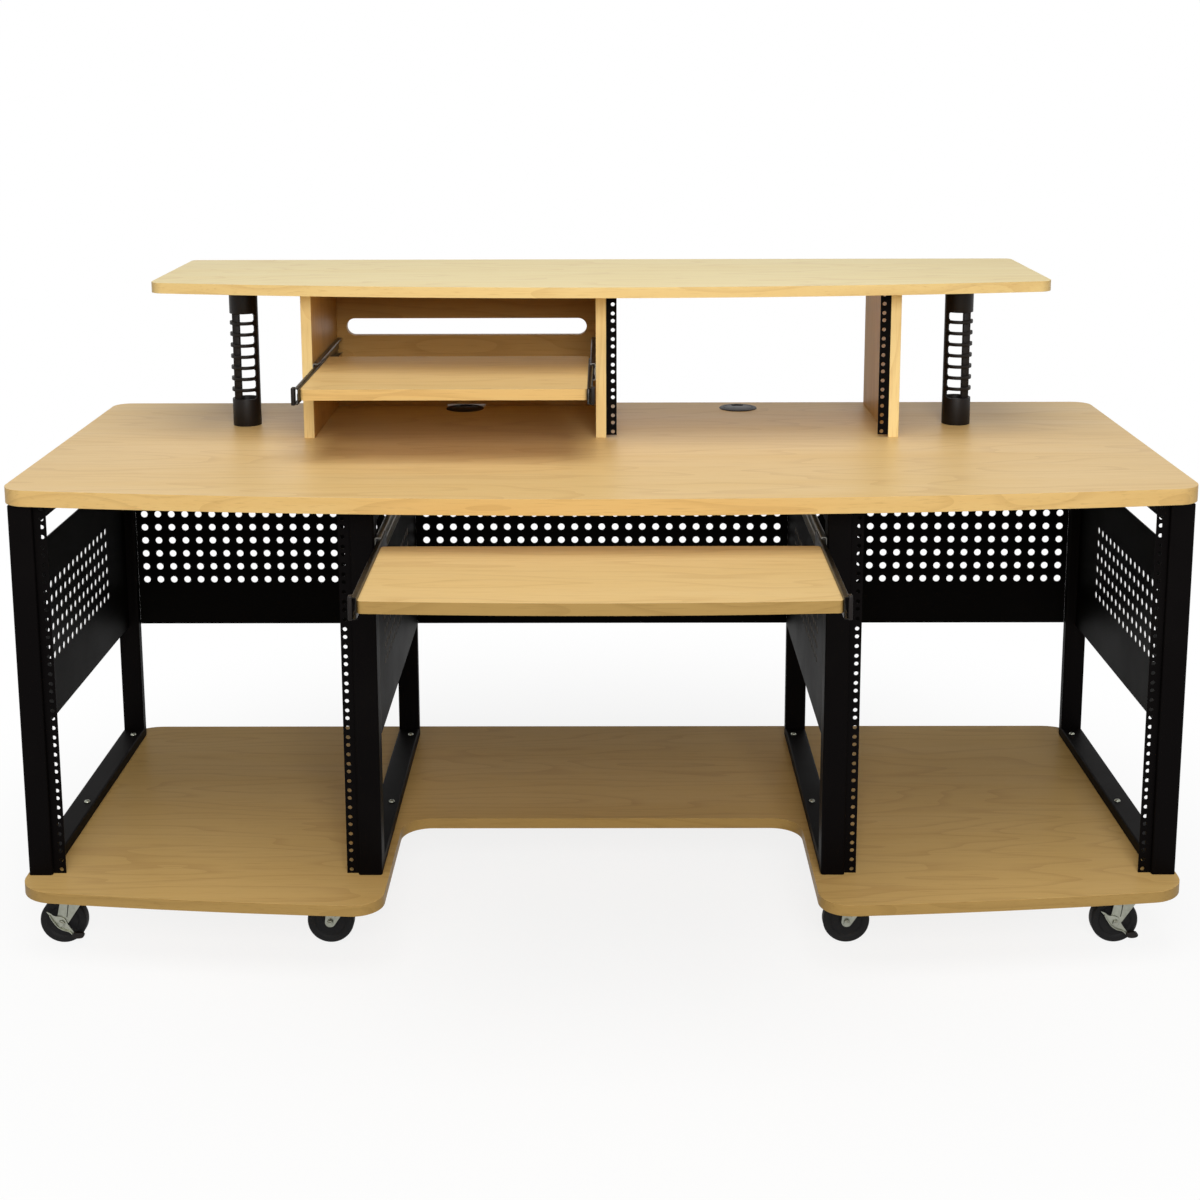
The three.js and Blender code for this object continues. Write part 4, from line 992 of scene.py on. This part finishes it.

# The back board's laminate is a darker, duller copy of the face laminate: painted shade under the shelf and
# tray.
maple_back_painted_shade = maple_laminate("maple_laminate_back_painted_shade", "X", "#c7a064", "#bb9154", "#986e3a", (0.4, 0.6, 0.1),
                            0.04)
back_low, back_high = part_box("bridge_back")
slot_length, slot_radius, slot_height = 451 * MM, 16 * MM, 905 * MM
slot_half = slot_length / 2 - slot_radius
slot_x = (back_low.x + back_high.x) / 2
slot_outline = (arc(slot_x + slot_half, slot_height, slot_radius, -math.pi / 2, math.pi / 2, 16)
                + arc(slot_x - slot_half, slot_height, slot_radius, math.pi / 2, 1.5 * math.pi, 16))
grommet_low, grommet_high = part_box("grommet_left")
notch_room, foot_gap = 1 * MM, 0.2 * MM
notch_x = (grommet_low.x - notch_room, grommet_high.x + notch_room)
back_foot = desk_high.z + foot_gap
back_outline = [(back_low.x, back_foot), (notch_x[0], back_foot), (notch_x[0], back_low.z),
                (notch_x[1], back_low.z), (notch_x[1], back_foot), (back_high.x, back_foot),
                (back_high.x, back_high.z), (back_low.x, back_high.z)]
back_bm = upright_slab(back_outline, back_low.y, back_high.y, 0.8 * MM, 3, [slot_outline])
bridge_back = to_object("slotted_bridge_back", back_bm, [maple_back_painted_shade, maple_band])
for face in bridge_back.data.polygons:
    if abs(face.normal.y) < SIDEWAYS_FACE:
        face.material_index = 1
even_shading(bridge_back)
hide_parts("bridge_back")
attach(bridge_back, DESK)

# Paler copies of the laminate and banding for the shelf: painted sheen from the bright backdrop and painted
# light from the nearer lamps.
maple_shelf_painted_sheen = maple_laminate("maple_laminate_shelf_painted_sheen", "X", "#ecdda8", "#e6cf92", "#c8a164", (0.17, 0.4, 0.3))
maple_shelf_band_painted_light = maple_laminate("maple_edge_banding_shelf_painted_light", "X", "#eacf90", "#e3c17e", "#ba8c4e",
                                  (0.2, 0.3, 0.15))
shelf_low, shelf_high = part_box("shelf_top")
shelf_bow, shelf_corners = 3880 * MM, (28 * MM, 12 * MM)
shelf_outline = bowed_outline(shelf_high.x, shelf_low.y, shelf_high.y, shelf_bow, *shelf_corners)
shelf = flat_board("shelf_maple", shelf_outline, (shelf_low.z, shelf_high.z), 1.8 * MM, 4,
                   [maple_shelf_painted_sheen, maple_shelf_band_painted_light])
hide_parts("shelf_top")
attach(shelf, DESK)

# Slotted posts: black moulded tubes under the shelf ends. Fingers reach from a wide strip, on the
# side towards the middle of the desk, round the front and past a rib; cables lie between them.


def small_block(xs, ys, zs, rim):
    """A rounded block between two values on each axis, given in either order."""
    low, high = (Vector(corner) for corner in zip(*(sorted(pair) for pair in (xs, ys, zs))))
    return rounded_block(low, high, rim)


def post_mesh(node, side):
    """The tube's skin; it is given its wall afterwards."""
    low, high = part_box(node)
    cx, cy = (low.x + high.x) / 2, (low.y + high.y) / 2
    rx, ry = 25 * MM, 26 * MM
    steps = 72
    foot, window, pitch_z, windows = 48.6 * MM, 14 * MM, 20 * MM, 8
    corner, strip_depth, rear_line = 2 * MM, 3.2 * MM, 5 * MM
    rows = [0.0]
    for k in range(windows):
        z0 = foot + k * pitch_z
        rows += [z0, z0 + corner, z0 + window - corner, z0 + window]
    rows.append(high.z - low.z)
    bm = bmesh.new()
    grid = []
    for row in rows:
        grid.append([bm.verts.new((cx - side * rx * math.cos(2 * math.pi * i / steps),
                                   cy + ry * math.sin(2 * math.pi * i / steps),
                                   low.z + row)) for i in range(steps)])

    def part_at(i):
        """The tube's part at step i: its strip, the open rear or the fingers round the front."""
        angle = 2 * math.pi * ((i % steps) + 0.5) / steps
        x, y = -rx * math.cos(angle), ry * math.sin(angle)
        if x > rx - strip_depth:
            return "strip"
        return "rear" if y > rear_line else "fingers"

    for r in range(len(rows) - 1):
        in_field = 0 < r < len(rows) - 2
        stage = (r - 1) % 4
        for i in range(steps):
            here = part_at(i)
            if in_field and here == "rear":
                continue
            if in_field and here == "fingers" and stage < 3:
                beside = "strip" in (part_at(i - 1), part_at(i + 1))
                if stage == 1 or not beside:
                    continue
            j = (i + 1) % steps
            bm.faces.new((grid[r][i], grid[r][j], grid[r + 1][j], grid[r + 1][i]))
    loose = [v for v in bm.verts if not v.link_faces]
    bmesh.ops.delete(bm, geom=loose, context="VERTS")
    return bm


rib_across, rib_ahead, rib_inset = (18.5 * MM, 5 * MM), (16.5 * MM, 8 * MM), 40 * MM
post_wall, post_rounding, post_fold = 3.6 * MM, 0.7 * MM, 50
for node, side in (("post_left", 1), ("post_right", -1)):
    post = to_object("moulded_" + node, post_mesh(node, side), [black_plastic], post_fold)
    wall = post.modifiers.new("wall", "SOLIDIFY")
    wall.thickness = post_wall
    wall.offset = -1
    soft = post.modifiers.new("soft_edges", "BEVEL")
    soft.width = post_rounding
    soft.segments = 2
    soft.limit_method = "ANGLE"
    soft.angle_limit = math.radians(post_fold)
    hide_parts(node)
    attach(post, DESK)
    low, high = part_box(node)
    middle = (low + high) / 2
    rib_x = (middle.x - side * rib_across[0], middle.x - side * rib_across[1])
    rib_y = (middle.y - rib_ahead[0], middle.y - rib_ahead[1])
    rib_z = (low.z + rib_inset, high.z - rib_inset)
    rib = to_object("rib_" + node, small_block(rib_x, rib_y, rib_z, 2 * MM), [black_plastic])
    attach(rib, DESK)

# Keyboard tray and upper pull-out tray: laminated boards with banded edges, each carried by a
# runner screwed along both sides.
tray_low, tray_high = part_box("keyboard_tray")
tray_bow, tray_corner, tray_rim = 4830 * MM, 6 * MM, 1.6 * MM
tray_outline = bowed_outline(tray_high.x, tray_low.y, tray_high.y, tray_bow, tray_corner, tray_corner)
keyboard_tray = flat_board("keyboard_tray_maple", tray_outline, (tray_low.z, tray_high.z), tray_rim, 4,
                           [maple_face, maple_band_low])
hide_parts("keyboard_tray")
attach(keyboard_tray, "keyboard_shelf")

upper_low, upper_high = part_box("upper_tray")
upper_x = (upper_low.x + tray_corner, upper_high.x - tray_corner)
upper_outline = (arc(upper_x[0], upper_low.y + tray_corner, tray_corner, math.pi, 1.5 * math.pi, 8)
                 + arc(upper_x[1], upper_low.y + tray_corner, tray_corner, 1.5 * math.pi, 2 * math.pi, 8)
                 + [(upper_high.x, upper_high.y), (upper_low.x, upper_high.y)])
upper_tray = flat_board("upper_tray_maple", upper_outline, (upper_low.z, upper_high.z), tray_rim, 4,
                        [maple_face, maple_band])
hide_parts("upper_tray")
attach(upper_tray, "pull_out_shelf")

# Ball slides: rolled steel channels. The fixed member, dull zinc plated, is screwed to the frame
# or divider, and the black runner to the tray's edge, with a moulded stop pressed on its end.
slide_steel = zinc_plate("rolled_slide_steel", "#8f8d86", "#6a6862")
runner_steel = zinc_plate("black_zinc_runner", "#302e2b", "#1e1d1b")


def rolled_channel(low, high, web_low_x, sheet, curl, centre_bead):
    """A channel along Y: web on one side, both lips rolled back, with a shallow bead along the web."""
    reach = high.x - low.x
    side = 1 if web_low_x else -1
    x_web = low.x if web_low_x else high.x
    middle = (low.z + high.z) / 2
    half = (high.z - low.z) / 2
    outer = [(0, 0), (0, half - curl)]
    angles = [math.pi / 2 * i / 5 for i in range(1, 6)]
    outer += [(curl - curl * math.cos(a), half - curl + curl * math.sin(a)) for a in angles]
    outer += [(reach - curl, half)]
    outer += [(reach - curl + curl * math.sin(a), half - curl + curl * math.cos(a)) for a in angles]
    inner = [(reach - sheet, half - curl), (reach - curl, half - sheet), (curl, half - sheet),
             (sheet, half - curl), (sheet, half * 0.45), (sheet + centre_bead, half * 0.3),
             (sheet + centre_bead, 0)]
    upper = outer[1:] + inner
    lower = [(x, -z) for x, z in reversed(upper[:-1])]
    points = [(x_web + side * x, middle + z) for x, z in upper + lower]
    return upright_slab(points, low.y, high.y, 0)


stop_outward, stop_inward, stop_length = 4.4 * MM, 2 * MM, 13 * MM
stop_drop, stop_rise = 1.5 * MM, 1 * MM
fixed_section, runner_section = (1.4 * MM, 2.6 * MM, 1.2 * MM), (1.4 * MM, 2.2 * MM, 0.8 * MM)
for prefix, tray_body in (("keyboard", "keyboard_shelf"), ("upper", "pull_out_shelf")):
    for label in ("left", "right"):
        fixed_low, fixed_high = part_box(f"{prefix}_slide_{label}")
        fixed = to_object(f"rolled_{prefix}_slide_{label}",
                          rolled_channel(fixed_low, fixed_high, label == "left", *fixed_section),
                          [slide_steel], 40)
        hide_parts(f"{prefix}_slide_{label}")
        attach(fixed, DESK)
        run_low, run_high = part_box(f"{prefix}_runner_{label}")
        runner = to_object(f"rolled_{prefix}_runner_{label}",
                           rolled_channel(run_low, run_high, label == "right", *runner_section),
                           [runner_steel], 40)
        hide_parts(f"{prefix}_runner_{label}")
        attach(runner, tray_body)
        side = -1 if label == "left" else 1
        outer_x = run_low.x if side < 0 else run_high.x
        stop_x = (outer_x + side * stop_outward, outer_x - side * stop_inward)
        stop_y = (run_low.y, run_low.y + stop_length)
        stop_z = (run_low.z - stop_drop, run_high.z + stop_rise)
        stop = to_object(f"end_stop_{prefix}_{label}", small_block(stop_x, stop_y, stop_z, 1.8 * MM),
                         [black_plastic])
        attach(stop, tray_body)
